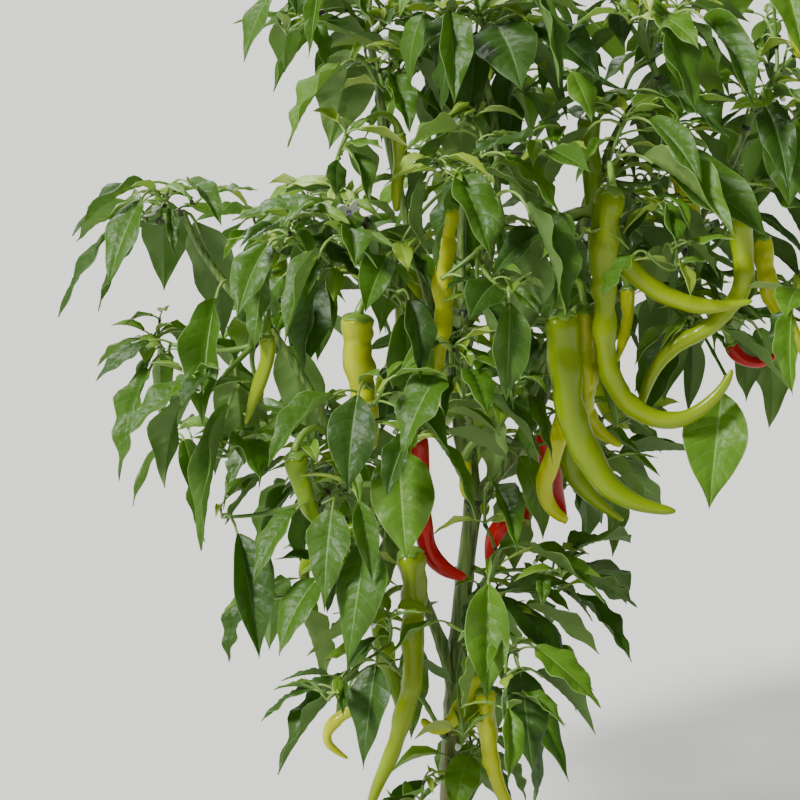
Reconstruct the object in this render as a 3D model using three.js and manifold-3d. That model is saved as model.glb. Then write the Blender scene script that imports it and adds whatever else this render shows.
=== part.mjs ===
// A chilli pepper plant in fruit: a branching green stem, drooping pointed leaves, long yellow-green pods.
// Millimetres, +Z up, +X to the right and +Y away from the viewer. The origin is the foot of the stem.
import * as THREE from "three";
import { mergeVertices } from "three/addons/utils/BufferGeometryUtils.js";
import Module from "manifold-3d";

const wasm = await Module();
wasm.setup();

// Clearance where one piece meets another
const GAP = 0.3;
// Corners of a solid that lie closer than these fall together when it is written out
const GRAINS = [1e-3, 1e-4];

// The stem and the limbs. Each leaves its parent at a share of the parent's length (1 is its tip) and
// tapers to its own tip. The bow is how far its middle stands off the straight line.
const LIMBS = [
  { name: "stem", tip: [16, 0, 278], bow: [-5, 3, 0], radius: [7.4, 5.6] },
  {
    name: "bough_left_lower", from: "stem", at: 0.46, tip: [-74, -40, 304], bow: [16, 6, -4],
    radius: [4.2, 3.3],
  },
  {
    name: "bough_left_middle", from: "bough_left_lower", at: 1, tip: [-121, -40, 404],
    bow: [5, 0, 4], radius: [3.2, 2.7],
  },
  {
    name: "bough_left_end", from: "bough_left_middle", at: 1, tip: [-178, -38, 482],
    bow: [-4, 0, -4], radius: [2.6, 2.2],
  },
  { name: "bough_centre", from: "stem", at: 1, tip: [5, -8, 394], bow: [-6, 2, 0], radius: [4.8, 4] },
  {
    name: "bough_centre_left", from: "bough_centre", at: 1, tip: [-57, -55, 478],
    bow: [-6, -4, -6], radius: [3.4, 2.6],
  },
  {
    name: "bough_centre_front", from: "bough_centre", at: 1, tip: [26, -48, 474],
    bow: [4, -6, -4], radius: [3.4, 2.6],
  },
  {
    name: "bough_upper_left", from: "bough_centre", at: 0.72, tip: [-52, 12, 575],
    bow: [-6, 12, 0], radius: [3.6, 2.6],
  },
  {
    name: "bough_top", from: "bough_centre_front", at: 1, tip: [14, -4, 585], bow: [8, 0, 4],
    radius: [2.6, 2.3],
  },
  {
    name: "bough_right_lower", from: "stem", at: 1, tip: [74, -2, 405], bow: [10, 0, -6],
    radius: [4.8, 4],
  },
  {
    name: "bough_right_middle", from: "bough_right_lower", at: 1, tip: [99, -6, 503],
    bow: [-4, 0, 0], radius: [3.5, 3],
  },
  {
    name: "bough_upper_right", from: "bough_right_middle", at: 1, tip: [136, 0, 566],
    bow: [-4, 0, 4], radius: [2.9, 2.4],
  },
  {
    name: "bough_far_right", from: "bough_right_lower", at: 1, tip: [160, 2, 462],
    bow: [6, 4, -8], radius: [3.4, 2.8],
  },
  {
    name: "bough_far_right_top", from: "bough_far_right", at: 1, tip: [196, 6, 532],
    bow: [4, 0, 2], radius: [2.7, 2.3],
  },
  { name: "bough_back", from: "stem", at: 1, tip: [10, 70, 396], bow: [0, 8, -6], radius: [4.6, 3.8] },
  {
    name: "bough_back_left", from: "bough_back", at: 1, tip: [-78, 100, 430], bow: [-4, 4, -8],
    radius: [3.3, 2.6],
  },
  {
    name: "bough_back_right", from: "bough_back", at: 1, tip: [92, 108, 426], bow: [6, 4, -8],
    radius: [3.3, 2.6],
  },
  {
    name: "bough_back_top", from: "bough_back", at: 1, tip: [20, 92, 530], bow: [-6, 6, 0],
    radius: [3.2, 2.4],
  },
  {
    name: "bough_low_back_left", from: "stem", at: 0.56, tip: [-58, 74, 262], bow: [4, -4, -6],
    radius: [3.8, 2.8],
  },
  {
    name: "bough_low_back_right", from: "stem", at: 0.68, tip: [70, 72, 282], bow: [-2, -4, -6],
    radius: [3.8, 2.8],
  },
];
const STEM_SIDES = 10;
const LIMB_SIDES = 5;
const LIMB_STEPS = 3;
const KNUCKLE = 1.18; // how much a joint swells beyond its limb
const FLARE = { height: 24, radius: 12.5 }; // the stem's root flare

// The masses of foliage. Each grows from a limb's tip, or from a share of the stem's length, into the
// space of an ellipsoid: its centre and its reach along X, Y and Z. `shoots` are the leafy twig ends in it.
const MASSES = [
  {
    name: "foliage_left_tip", from: "bough_left_end", centre: [-192, -38, 476],
    reach: [74, 70, 90], shoots: 1, seed: 11,
  },
  {
    name: "foliage_left", from: "bough_left_middle", centre: [-172, -42, 356],
    reach: [81, 81, 119], shoots: 4, seed: 5,
  },
  {
    name: "foliage_low_left", from: "bough_left_lower", centre: [-102, -52, 276],
    reach: [89, 76, 128], shoots: 5, seed: 23,
  },
  {
    name: "foliage_centre_left", from: "bough_centre_left", centre: [-74, -58, 486],
    reach: [86, 86, 103], shoots: 6, seed: 41,
  },
  {
    name: "foliage_top_left", from: "bough_upper_left", centre: [-58, 6, 602],
    reach: [88, 99, 94], shoots: 6, seed: 19,
  },
  {
    name: "foliage_centre", from: "bough_centre", centre: [-34, -72, 392], reach: [88, 82, 116],
    shoots: 5, seed: 8,
  },
  {
    name: "foliage_centre_front", from: "bough_centre_front", centre: [36, -78, 478],
    reach: [97, 90, 116], shoots: 6, seed: 3,
  },
  {
    name: "foliage_top", from: "bough_top", centre: [24, -12, 606], reach: [94, 99, 86],
    shoots: 6, seed: 14,
  },
  {
    name: "foliage_right", from: "bough_right_lower", centre: [52, -34, 372],
    reach: [72, 79, 90], shoots: 4, seed: 28,
  },
  {
    name: "foliage_right_middle", from: "bough_right_middle", centre: [118, -50, 492],
    reach: [79, 86, 90], shoots: 5, seed: 7,
  },
  {
    name: "foliage_upper_right", from: "bough_upper_right", centre: [126, -6, 590],
    reach: [91, 101, 96], shoots: 6, seed: 33,
  },
  {
    name: "foliage_far_right", from: "bough_far_right", centre: [196, -14, 424],
    reach: [79, 94, 123], shoots: 6, seed: 52,
  },
  {
    name: "foliage_far_right_top", from: "bough_far_right_top", centre: [206, 4, 556],
    reach: [69, 94, 94], shoots: 5, seed: 61,
  },
  {
    name: "foliage_low_right", from: "stem", at: 0.74, centre: [54, -30, 238],
    reach: [80, 90, 112], shoots: 4, seed: 17,
  },
  {
    name: "foliage_low_front", from: "stem", at: 0.55, centre: [26, -56, 180],
    reach: [78, 81, 112], shoots: 4, seed: 72,
  },
  {
    name: "foliage_low_left_front", from: "stem", at: 0.36, centre: [-54, -62, 196],
    reach: [75, 78, 119], shoots: 4, seed: 29,
  },
  {
    name: "foliage_foot", from: "stem", at: 0.27, centre: [-4, -26, 96], reach: [72, 78, 72],
    shoots: 2, seed: 83,
  },
  {
    name: "foliage_back_left", from: "bough_back_left", centre: [-92, 112, 436],
    reach: [86, 84, 100], shoots: 7, seed: 91,
  },
  {
    name: "foliage_back_left_low", from: "bough_low_back_left", centre: [-90, 96, 288],
    reach: [84, 82, 80], shoots: 5, seed: 37,
  },
  {
    name: "foliage_back", from: "bough_back", centre: [6, 148, 440], reach: [76, 78, 97],
    shoots: 6, seed: 46,
  },
  {
    name: "foliage_back_right", from: "bough_back_right", centre: [128, 112, 436],
    reach: [94, 88, 103], shoots: 8, seed: 58,
  },
  {
    name: "foliage_back_right_low", from: "bough_low_back_right", centre: [92, 92, 300],
    reach: [80, 80, 78], shoots: 5, seed: 64,
  },
  {
    name: "foliage_back_top", from: "bough_back_top", centre: [26, 92, 574],
    reach: [101, 78, 78], shoots: 7, seed: 76,
  },
];

// Clear spaces that the crown leaves open: round the hanging pods, beside the bare foot of the stem and
// at the left below the longest limb.
const CLEARINGS = [
  { centre: [112, -120, 372], reach: [62, 62, 82] },
  { centre: [170, -100, 350], reach: [44, 60, 60] },
  { centre: [92, -60, 300], reach: [46, 40, 40] },
  { centre: [-36, -70, 300], reach: [22, 34, 34] },
  { centre: [-20, -110, 150], reach: [34, 60, 60] },
  { centre: [10, -60, 240], reach: [20, 40, 44] },
  { centre: [-128, -50, 540], reach: [52, 90, 44] },
  { centre: [-37, -84, 496], reach: [15, 44, 46] },
  { centre: [-64, -108, 388], reach: [20, 36, 34] },
  { centre: [-16, -78, 292], reach: [26, 34, 48] },
  { centre: [-68, -80, 126], reach: [30, 46, 28] },
  { centre: [30, -86, 114], reach: [20, 48, 42] },
  { centre: [-258, -50, 330], reach: [36, 60, 62] },
  { centre: [-226, -50, 240], reach: [66, 60, 62] },
  { centre: [104, -116, 490], reach: [18, 40, 32] },
  { centre: [40, -60, 262], reach: [20, 44, 26] },
  { centre: [-98, -102, 316], reach: [15, 34, 32] },
];

// Outlines of pods: the radius at even steps from the shoulder to the tip, as shares of the widest
const POD_SHAPES = {
  full: [1, 1, 0.97, 0.9, 0.6, 0.2],
  stout: [1, 0.97, 0.93, 0.88, 0.76, 0.4],
  slim: [1, 0.84, 0.72, 0.69, 0.5, 0.2],
  waisted: [1, 0.64, 0.6, 0.76, 0.8, 0.3],
};

// Pods that are placed singly, by the shoulder under the calyx. A pod falls in the plane of its heading
// (degrees from +X towards +Y). `falls` are its elevations at even steps from the shoulder to the tip, and
// `girth` is its widest radius.
const PODS = [
  {
    mass: "foliage_right", ripe: "lime", shape: "full", shoulder: [68, -88, 426],
    length: 171, girth: 11, heading: -5, falls: [-92, -80, -77, -66, -24, -4],
  },
  {
    mass: "foliage_right", ripe: "yellow", shape: "full", shoulder: [84, -68, 425],
    length: 105, girth: 8.2, heading: -2, falls: [-86, -88, -92, -90, -40, -30],
  },
  {
    mass: "foliage_right", ripe: "yellow", shape: "stout", shoulder: [77, -57, 371],
    length: 102, girth: 6.8, heading: 4, falls: [-98, -104, -109, -106, -66, -22],
  },
  {
    mass: "foliage_right", ripe: "lime", shape: "full", shoulder: [84, -42, 355],
    length: 98, girth: 6.8, heading: 3, falls: [-106, -104, -84, -50, -38, -34],
  },
  {
    mass: "foliage_right_middle", ripe: "lime", shape: "slim", shoulder: [100, -80, 504],
    length: 230, girth: 11, heading: -3, falls: [-100, -92, -86, -60, 20, 72],
  },
  {
    mass: "foliage_right_middle", ripe: "lime", shape: "full", shoulder: [108, -62, 457],
    length: 97, girth: 6.6, heading: -8, falls: [-54, -42, -24, -12, 8, 14],
  },
  {
    mass: "foliage_far_right", ripe: "lime", shape: "slim", shoulder: [185, -56, 485],
    length: 165, girth: 8.8, heading: 2, falls: [-84, -84, -130, -152, -118, -94],
  },
  {
    mass: "foliage_far_right", ripe: "yellow", shape: "full", shoulder: [202, -36, 467],
    length: 95, girth: 7.0, heading: 0, falls: [-80, -78, -72, -62, -58, -55],
  },
  {
    mass: "foliage_right", ripe: "yellow", shape: "full", shoulder: [117, -22, 430],
    length: 53, girth: 4.6, heading: 4, falls: [-86, -90, -96, -104, -106, -104],
  },
  {
    mass: "foliage_upper_right", ripe: "green", shape: "stout", shoulder: [89, -30, 543],
    length: 61, girth: 7.6, heading: 10, falls: [-86, -84, -88, -92, -92, -90],
  },
  {
    mass: "foliage_upper_right", ripe: "yellow", shape: "full", shoulder: [140, -22, 524],
    length: 62, girth: 7.8, heading: 0, falls: [-70, -64, -62, -66, -70, -74],
  },
  {
    mass: "foliage_centre_left", ripe: "lime", shape: "stout", shoulder: [-36, -36, 534],
    length: 52, girth: 4.8, heading: 0, falls: [-90, -90, -91, -92, -92, -92],
  },
  {
    mass: "foliage_centre", ripe: "yellow", shape: "stout", shoulder: [-62, -66, 419],
    length: 92, girth: 10.6, heading: 0, falls: [-97, -92, -80, -76, -86, -98],
  },
  {
    mass: "foliage_centre", ripe: "yellow", shape: "stout", shoulder: [-5, -58, 491],
    length: 135, girth: 7.4, heading: 0, falls: [-90, -91, -93, -98, -92, 20],
  },
  {
    mass: "foliage_left", ripe: "lime", shape: "full", shoulder: [-121, -82, 408],
    length: 61, girth: 5.0, heading: 2, falls: [-88, -92, -104, -110, -112, -114],
  },
  {
    mass: "foliage_low_left", ripe: "green", shape: "slim", shoulder: [-104, -70, 328],
    length: 100, girth: 8.0, heading: -2, falls: [-80, -79, -70, -22, 34, 80],
  },
  {
    mass: "foliage_low_left", ripe: "lime", shape: "full", shoulder: [-70, -52, 244],
    length: 63, girth: 4.6, heading: 0, falls: [120, 155, 200, 255, 320, 360],
  },
  {
    mass: "foliage_right", ripe: "red", shape: "waisted", shoulder: [-26, -42, 334],
    length: 115, girth: 8.4, heading: 0, falls: [-70, -84, -88, -90, -44, -10],
  },
  {
    mass: "foliage_low_left", ripe: "lime", shape: "slim", shoulder: [-30, -66, 262],
    length: 197, girth: 10.4, heading: -3, falls: [-76, -92, -91, -104, -116, -98],
  },
  {
    mass: "foliage_low_left_front", ripe: "green", shape: "full", shoulder: [-49, -30, 208],
    length: 72, girth: 6.6, heading: 0, falls: [-88, -86, -74, -74, -80, -84],
  },
  {
    mass: "foliage_low_left_front", ripe: "yellow", shape: "full", shoulder: [-47, -34, 146],
    length: 70, girth: 4.8, heading: 3, falls: [-165, -158, -146, -126, -46, -30],
  },
  {
    mass: "foliage_low_front", ripe: "yellow", shape: "stout", shoulder: [18, -36, 167],
    length: 65, girth: 5.6, heading: 3, falls: [-104, -108, -120, -130, -180, -250],
  },
  {
    mass: "foliage_low_front", ripe: "yellow", shape: "full", shoulder: [21, -38, 156],
    length: 100, girth: 6.8, heading: 0, falls: [-78, -86, -84, -74, -64, -58],
  },
  {
    mass: "foliage_low_right", ripe: "red", shape: "full", shoulder: [64, -6, 330],
    length: 69, girth: 7.8, heading: 0, falls: [-84, -82, -80, -76, -74, -74],
  },
  {
    mass: "foliage_low_right", ripe: "red", shape: "full", shoulder: [54, -12, 273],
    length: 56, girth: 6.6, heading: 0, falls: [-172, -160, -136, -108, -94, -90],
  },
  {
    mass: "foliage_far_right", ripe: "red", shape: "full", shoulder: [186, -20, 391],
    length: 40, girth: 4.6, heading: 4, falls: [-66, -44, -24, 0, 30, 40],
  },
  {
    mass: "foliage_far_right_top", ripe: "yellow", shape: "full", shoulder: [222, -30, 633],
    length: 51, girth: 6.4, heading: 0, falls: [-96, -92, -88, -84, -84, -88],
  },
  {
    mass: "foliage_centre_front", ripe: "yellow", shape: "full", shoulder: [15, -84, 503],
    length: 22, girth: 2.9, heading: 0, falls: [-88, -90, -92, -92, -90, -88],
  },
  {
    mass: "foliage_right", ripe: "yellow", shape: "stout", shoulder: [8, -34, 314],
    length: 26, girth: 4.6, heading: 0, falls: [-86, -84, -84, -88, -90, -92],
  },
];
const POD_SIDES = 5;
const POD_STEPS = 5;
const POD_STRIDES = 8; // strides to a step, in which a pod's line is worked out
const PEDICEL = { length: 34, radius: 1.9, rise: 40, fall: -80 }; // rise and fall are its end elevations
// Pods that grow by rule where no pod is placed singly: how many on each of the masses at the back
const BACK_PODS = {
  foliage_back_left: 2,
  foliage_back: 2,
  foliage_back_right: 1,
};

// Leaves that are placed singly, by where the blade starts and where its tip hangs. `slender` is the width
// as a share of the length, `bend` how far the blade turns down along its length and `roll` how far it
// rolls about its midrib, in degrees.
const LEAVES = [
  { base: [-201, -42, 502], tip: [-247, -66, 470], slender: 0.46, bend: 36, roll: 12 },
  { base: [-204, -46, 492], tip: [-223, -76, 438], slender: 0.48, bend: 22, roll: 10 },
  { base: [-222, -36, 474], tip: [-258, -58, 415], slender: 0.4, bend: 20, roll: 14 },
  { base: [-174, -46, 504], tip: [-151, -74, 478], slender: 0.5, bend: 40, roll: -10 },
  { base: [-161, -34, 493], tip: [-128, -40, 497], slender: 0.36, bend: 30, roll: 0 },
  { base: [-186, -44, 486], tip: [-180, -62, 457], slender: 0.46, bend: 14, roll: 0 },
  { base: [-155, -62, 430], tip: [-165, -92, 351], slender: 0.5, bend: 20, roll: 8 },
  { base: [-200, -46, 398], tip: [-235, -64, 374], slender: 0.44, bend: 34, roll: 0 },
  { base: [-200, -52, 381], tip: [-217, -80, 310], slender: 0.42, bend: 26, roll: 10 },
  { base: [-148, -58, 359], tip: [-165, -78, 262], slender: 0.34, bend: 16, roll: 14 },
  { base: [-134, -36, 470], tip: [-149, -62, 453], slender: 0.44, bend: 30, roll: 0 },
  { base: [-142, -74, 275], tip: [-128, -104, 196], slender: 0.52, bend: 18, roll: -8 },
  { base: [-103, -82, 293], tip: [-132, -108, 249], slender: 0.44, bend: 24, roll: 6 },
  { base: [-79, -88, 296], tip: [-86, -112, 231], slender: 0.44, bend: 18, roll: 0 },
  { base: [-57, -92, 274], tip: [-66, -116, 191], slender: 0.44, bend: 20, roll: 10 },
  { base: [-78, -84, 370], tip: [-121, -114, 328], slender: 0.46, bend: 32, roll: 8 },
  { base: [-62, -94, 372], tip: [-70, -122, 314], slender: 0.54, bend: 22, roll: 0 },
  { base: [-36, -92, 337], tip: [-33, -118, 268], slender: 0.62, bend: 14, roll: -6 },
  { base: [-43, -94, 367], tip: [-5, -130, 342], slender: 0.6, bend: 36, roll: -10 },
  { base: [23, -86, 244], tip: [21, -112, 168], slender: 0.5, bend: 20, roll: 0 },
  { base: [44, -84, 185], tip: [51, -106, 120], slender: 0.5, bend: 18, roll: 0 },
  { base: [-51, -96, 191], tip: [-59, -116, 124], slender: 0.46, bend: 14, roll: 6 },
  { base: [49, -62, 261], tip: [101, -88, 230], slender: 0.58, bend: 28, roll: -14 },
  { base: [59, -52, 188], tip: [95, -72, 165], slender: 0.5, bend: 28, roll: -10 },
  { base: [-14, -80, 215], tip: [-43, -98, 197], slender: 0.4, bend: 26, roll: 0 },
  { base: [44, -108, 498], tip: [71, -138, 430], slender: 0.6, bend: 20, roll: -12 },
  { base: [12, -96, 441], tip: [37, -116, 365], slender: 0.4, bend: 18, roll: -10 },
  { base: [-29, -104, 436], tip: [-20, -128, 389], slender: 0.56, bend: 20, roll: -4 },
  { base: [-89, -76, 486], tip: [-50, -106, 455], slender: 0.56, bend: 34, roll: -8 },
  { base: [31, -96, 527], tip: [65, -126, 492], slender: 0.5, bend: 38, roll: -8 },
  { base: [-2, -100, 512], tip: [-11, -112, 454], slender: 0.3, bend: 16, roll: 20 },
  { base: [21, -88, 369], tip: [56, -118, 335], slender: 0.64, bend: 30, roll: -12 },
  { base: [-73, -56, 580], tip: [-108, -88, 530], slender: 0.54, bend: 28, roll: 10 },
  { base: [-102, -66, 473], tip: [-91, -88, 457], slender: 0.56, bend: 24, roll: 0 },
  { base: [-118, -34, 625], tip: [-137, -52, 581], slender: 0.5, bend: 24, roll: 8 },
  { base: [-88, -30, 627], tip: [-92, -46, 583], slender: 0.36, bend: 14, roll: 6 },
  { base: [131, -66, 608], tip: [150, -96, 551], slender: 0.54, bend: 22, roll: -8 },
  { base: [74, -74, 577], tip: [87, -98, 547], slender: 0.52, bend: 24, roll: 0 },
  { base: [176, -62, 367], tip: [168, -92, 294], slender: 0.56, bend: 18, roll: 0 },
  { base: [112, -112, 466], tip: [91, -134, 439], slender: 0.6, bend: 24, roll: 10 },
  { base: [98, -40, 336], tip: [124, -56, 322], slender: 0.4, bend: 24, roll: 0 },
];

// Twigs and leaves
const TWIG = { start: 2.3, end: 1.2, leader: 15, internode: 30, sides: 3, stout: 1.4, root: 0.55 };
const LEAF = {
  length: [62, 98], // blade of a grown leaf
  slender: [0.44, 0.56], // width as a share of length
  petiole: 0.36, // petiole as a share of the blade's length
  facets: 34, // a leaf that adds more faces than this runs through another one, and is left out
  solid: 52, // blades shorter than this are too slight to be solids
  keel: 0.035, // depth of the folded midrib as a share of the blade's length
  spread: 3.2, // how far apart leaves leave a twig at one joint
  apart: 6.5, // least distance between the points of two blades
  offWood: 4.5, // and to limbs and twigs
  offPods: 4, // and to pods
  stray: 0.25, // how far into a neighbour's space a blade may lean
  reach: 1.2, // how far a tip may reach, where 1 is the edge of its mass's space
  tries: 12,
  placedRise: 42, // elevation at which the petiole of a placed leaf starts
};
// The points of a blade: at which shares of its length, and how many on each side of the midrib
const BLADE_POINTS = [0.04, 0.15, 0.27, 0.39, 0.51, 0.63, 0.75, 0.87, 0.98].map((share) => ({
  share,
  half: share > 0.1 && share < 0.7 ? 2 : share < 0.8 && share > 0.1 ? 1 : 0,
}));
const GOLDEN_ANGLE = Math.PI * (3 - Math.sqrt(5));
const SHOOT_SPACING = 42;
const SHOOT_REACH = 0.66; // where a shoot may end, as a share of its mass's reach
const GROUND_CLEARANCE = 14;

const GREEN = 0x2f6b1f;
const STEM_GREEN = 0x4f7a2a;
const RADIANS = Math.PI / 180;
const STRAIGHT = 1e-6; // a path that turns less than this, in radians per millimetre, is straight

const vector = (values) => new THREE.Vector3(...values);
const between = (random, [low, high]) => low + (high - low) * random();
const outAt = (heading) => new THREE.Vector3(Math.cos(heading), Math.sin(heading), 0);

// A repeatable random draw from 0 to 1 (a 32-bit multiply-and-shift generator).
function seededRandom(seed) {
  let state = seed >>> 0;
  return () => {
    state = (state + 0x6d2b79f5) >>> 0;
    let mixed = Math.imul(state ^ (state >>> 15), state | 1);
    mixed ^= mixed + Math.imul(mixed ^ (mixed >>> 7), mixed | 61);
    return ((mixed ^ (mixed >>> 14)) >>> 0) / 4294967296;
  };
}

// How far along and up a path has run at distance s when its elevation turns evenly from one angle to
// another over the whole length.
function arc(from, to, length, s) {
  const turn = (to - from) / length;
  if (Math.abs(turn) < STRAIGHT) return [s * Math.cos(from), s * Math.sin(from)];
  const now = from + turn * s;
  return [(Math.sin(now) - Math.sin(from)) / turn, (Math.cos(from) - Math.cos(now)) / turn];
}

// A bent line from start to end whose middle stands off by the bow, as points with tapering radii.
function bentLine(start, end, bow, [startRadius, endRadius], steps) {
  const middle = start.clone().add(end).multiplyScalar(0.5).addScaledVector(bow, 2);
  const curve = new THREE.QuadraticBezierCurve3(start, middle, end);
  return curve.getPoints(steps).map((point, i) => ({
    point,
    radius: startRadius + ((endRadius - startRadius) * i) / steps,
  }));
}

// A closed solid through rings of equal numbers of points; a last ring of one point closes to a tip.
function loftSolid(rings) {
  const positions = [];
  const index = [];
  const starts = rings.map((ring) => {
    const first = positions.length / 3;
    ring.forEach((p) => positions.push(p.x, p.y, p.z));
    return first;
  });
  for (let r = 0; r + 1 < rings.length; r++) {
    const sides = rings[r].length;
    for (let i = 0; i < sides; i++) {
      const j = (i + 1) % sides;
      const [a, b] = [starts[r] + i, starts[r] + j];
      if (rings[r + 1].length === 1) {
        index.push(a, b, starts[r + 1]);
        continue;
      }
      const [c, d] = [starts[r + 1] + i, starts[r + 1] + j];
      index.push(a, b, d, a, d, c);
    }
  }
  const lastRing = rings.length - 1;
  for (let i = 1; i + 1 < rings[0].length; i++) {
    index.push(starts[0], starts[0] + i + 1, starts[0] + i);
  }
  for (let i = 1; i + 1 < rings[lastRing].length; i++) {
    index.push(starts[lastRing], starts[lastRing] + i, starts[lastRing] + i + 1);
  }
  const vertProperties = new Float32Array(positions);
  const triVerts = new Uint32Array(index);
  return new wasm.Manifold(new wasm.Mesh({ numProp: 3, vertProperties, triVerts }));
}

// Rings round a line of points: a frame is carried along it without twist, so that the sides stay in line.
function ringsAlong(line, sides) {
  let side = null;
  return line.map(({ point, radius }, i) => {
    const ahead = line[Math.min(i + 1, line.length - 1)].point;
    const behind = line[Math.max(i - 1, 0)].point;
    const along = ahead.clone().sub(behind).normalize();
    if (!side) side = Math.abs(along.x) > 0.9 ? new THREE.Vector3(0, 1, 0) : new THREE.Vector3(1, 0, 0);
    side = side.clone().addScaledVector(along, -side.dot(along)).normalize();
    const up = along.clone().cross(side);
    return Array.from({ length: sides }, (_, k) => {
      const angle = (2 * Math.PI * k) / sides;
      return point
        .clone()
        .addScaledVector(side, radius * Math.cos(angle))
        .addScaledVector(up, radius * Math.sin(angle));
    });
  });
}

const tube = (line, sides, grow = 0) =>
  loftSolid(ringsAlong(line.map(({ point, radius }) => ({ point, radius: radius + grow })), sides));

// The stem and limbs as lines of points, in the order of the list: a parent is there before its child.
const limbLines = {};
function limbStart({ from, at = 1 }) {
  const points = limbLines[from].map(({ point }) => point);
  const place = at * (points.length - 1);
  const i = Math.min(Math.floor(place), points.length - 2);
  return points[i].clone().lerp(points[i + 1], place - i);
}
for (const limb of LIMBS) {
  const start = limb.from ? limbStart(limb) : new THREE.Vector3(0, 0, 0);
  limbLines[limb.name] = bentLine(start, vector(limb.tip), vector(limb.bow), limb.radius, LIMB_STEPS);
}

// The knuckle at a limb's end: the limb swells towards it and closes in a blunt cap.
function withKnuckle(line) {
  const last = line[line.length - 1];
  const before = line[line.length - 2];
  const along = last.point.clone().sub(before.point).normalize();
  const beyond = (distance) => last.point.clone().addScaledVector(along, distance);
  return [
    ...line.slice(0, -1),
    { point: beyond(-last.radius), radius: last.radius },
    { point: last.point, radius: last.radius * KNUCKLE },
    { point: beyond(last.radius * 0.8), radius: last.radius * 0.7 },
  ];
}

// The foot of the stem, from the flat cut at ground level up the flare.
function withFlare(line) {
  const [foot, next] = line;
  const flared = [1, 0.5, 0.16, 0].map((share) => {
    const height = FLARE.height * (1 - share);
    const point = foot.point.clone().lerp(next.point, height / (next.point.z - foot.point.z));
    return { point, radius: foot.radius + (FLARE.radius - foot.radius) * share * share };
  });
  return [...flared, ...line.slice(1)];
}

// Room: every limb, twig, pod and leaf leaves points behind, and a leaf keeps clear of them.
const woodRoom = [];
const podRoom = [];
const leafRoom = [];
function fillRoom(room, line, spacing = 6) {
  for (let i = 0; i + 1 < line.length; i++) {
    const [a, b] = [line[i], line[i + 1]];
    const steps = Math.max(1, Math.ceil(a.point.distanceTo(b.point) / spacing));
    for (let k = 0; k < steps; k++) {
      room.push({ point: a.point.clone().lerp(b.point, k / steps), radius: Math.max(a.radius, b.radius) });
    }
  }
  const last = line[line.length - 1];
  room.push({ point: last.point.clone(), radius: last.radius });
}
const roomAt = (room, point, clearance) =>
  room.every((taken) => taken.point.distanceToSquared(point) > (taken.radius + clearance) ** 2);

// How far a point lies from the centre of a mass, where 1 is the edge of its space.
function depthIn({ centre, reach }, point) {
  const [x, y, z] = [0, 1, 2].map((k) => (point.getComponent(k) - centre[k]) / reach[k]);
  return Math.hypot(x, y, z);
}
const nearestMass = (point) => MASSES.reduce((a, b) => (depthIn(b, point) < depthIn(a, point) ? b : a));
const inClearing = (point) => CLEARINGS.some((clearing) => depthIn(clearing, point) < 1);

// The value at a share of the way along values that stand at even steps.
function evenly(values, share) {
  const place = share * (values.length - 1);
  const before = Math.min(Math.floor(place), values.length - 2);
  return values[before] + (values[before + 1] - values[before]) * (place - before);
}

// A pod's line: from the shoulder it follows its elevations in the plane of its heading.
function podLine(pod, steps) {
  const out = outAt(pod.heading * RADIANS);
  const here = vector(pod.shoulder);
  const line = [here.clone()];
  const strides = steps * POD_STRIDES;
  for (let i = 0; i < strides; i++) {
    const elevation = evenly(pod.falls, (i + 0.5) / strides) * RADIANS;
    const stride = pod.length / strides;
    here.addScaledVector(out, Math.cos(elevation) * stride);
    here.z += Math.sin(elevation) * stride;
    if ((i + 1) % POD_STRIDES === 0) line.push(here.clone());
  }
  return line;
}

// A pod's radius at a share of its length: the shoulder rounds off over the first sixteenth.
function podRadius(pod, share) {
  const shoulder = Math.min(0.62 + 6 * share, 1);
  return pod.girth * shoulder * evenly(POD_SHAPES[pod.shape], share);
}

// Where a pod's pedicel leaves its twig: back towards the twig and up from the shoulder.
function pedicelLine(pod) {
  const away = vector(pod.shoulder).sub(pod.reachedFrom).setZ(0).normalize();
  const [rise, fall] = [PEDICEL.rise * RADIANS, PEDICEL.fall * RADIANS];
  const [out, up] = arc(rise, fall, PEDICEL.length, PEDICEL.length);
  const root = vector(pod.shoulder).addScaledVector(away, -out);
  root.z -= up;
  return [0, 1, 2, 3].map((i) => {
    const [along, high] = arc(rise, fall, PEDICEL.length, (PEDICEL.length * i) / 3);
    const point = root.clone().addScaledVector(away, along);
    point.z += high;
    return { point, radius: PEDICEL.radius * (1 + 0.25 * (i / 3)) };
  });
}

// The twig that carries a mass leaves its limb between the way the limb points and the way to the mass,
// and bends away from any limb that goes on from the same joint.
function leaderLine(mass) {
  const base = limbStart(mass);
  const way = vector(mass.centre).sub(base).normalize();
  const onwards = LIMBS.filter((limb) => limb.from === mass.from && (limb.at ?? 1) === (mass.at ?? 1));
  for (let pass = 0; pass < 6; pass++) {
    for (const limb of onwards) {
      const [a, b] = limbLines[limb.name];
      const along = b.point.clone().sub(a.point).normalize();
      const together = way.dot(along);
      if (together > 0.45) way.addScaledVector(along, 0.45 - together).normalize();
    }
  }
  const end = base.clone().addScaledVector(way, TWIG.leader);
  return bentLine(base, end, new THREE.Vector3(), [TWIG.start * 1.15, TWIG.start], 1);
}

// A bent twig from a joint to a goal, which leaves between the joint's own direction and the straight way.
function twigLine(joint, goal) {
  const straight = goal.clone().sub(joint.point);
  const distance = straight.length();
  const leave = straight.clone().normalize().lerp(joint.toward, 0.42).normalize();
  const bow = leave.multiplyScalar(distance * 0.25).addScaledVector(straight, -0.25);
  const steps = Math.max(1, Math.round(distance / TWIG.internode));
  return bentLine(joint.point, goal, bow, [Math.min(joint.radius * 0.9, TWIG.start), TWIG.end], steps);
}

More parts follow.
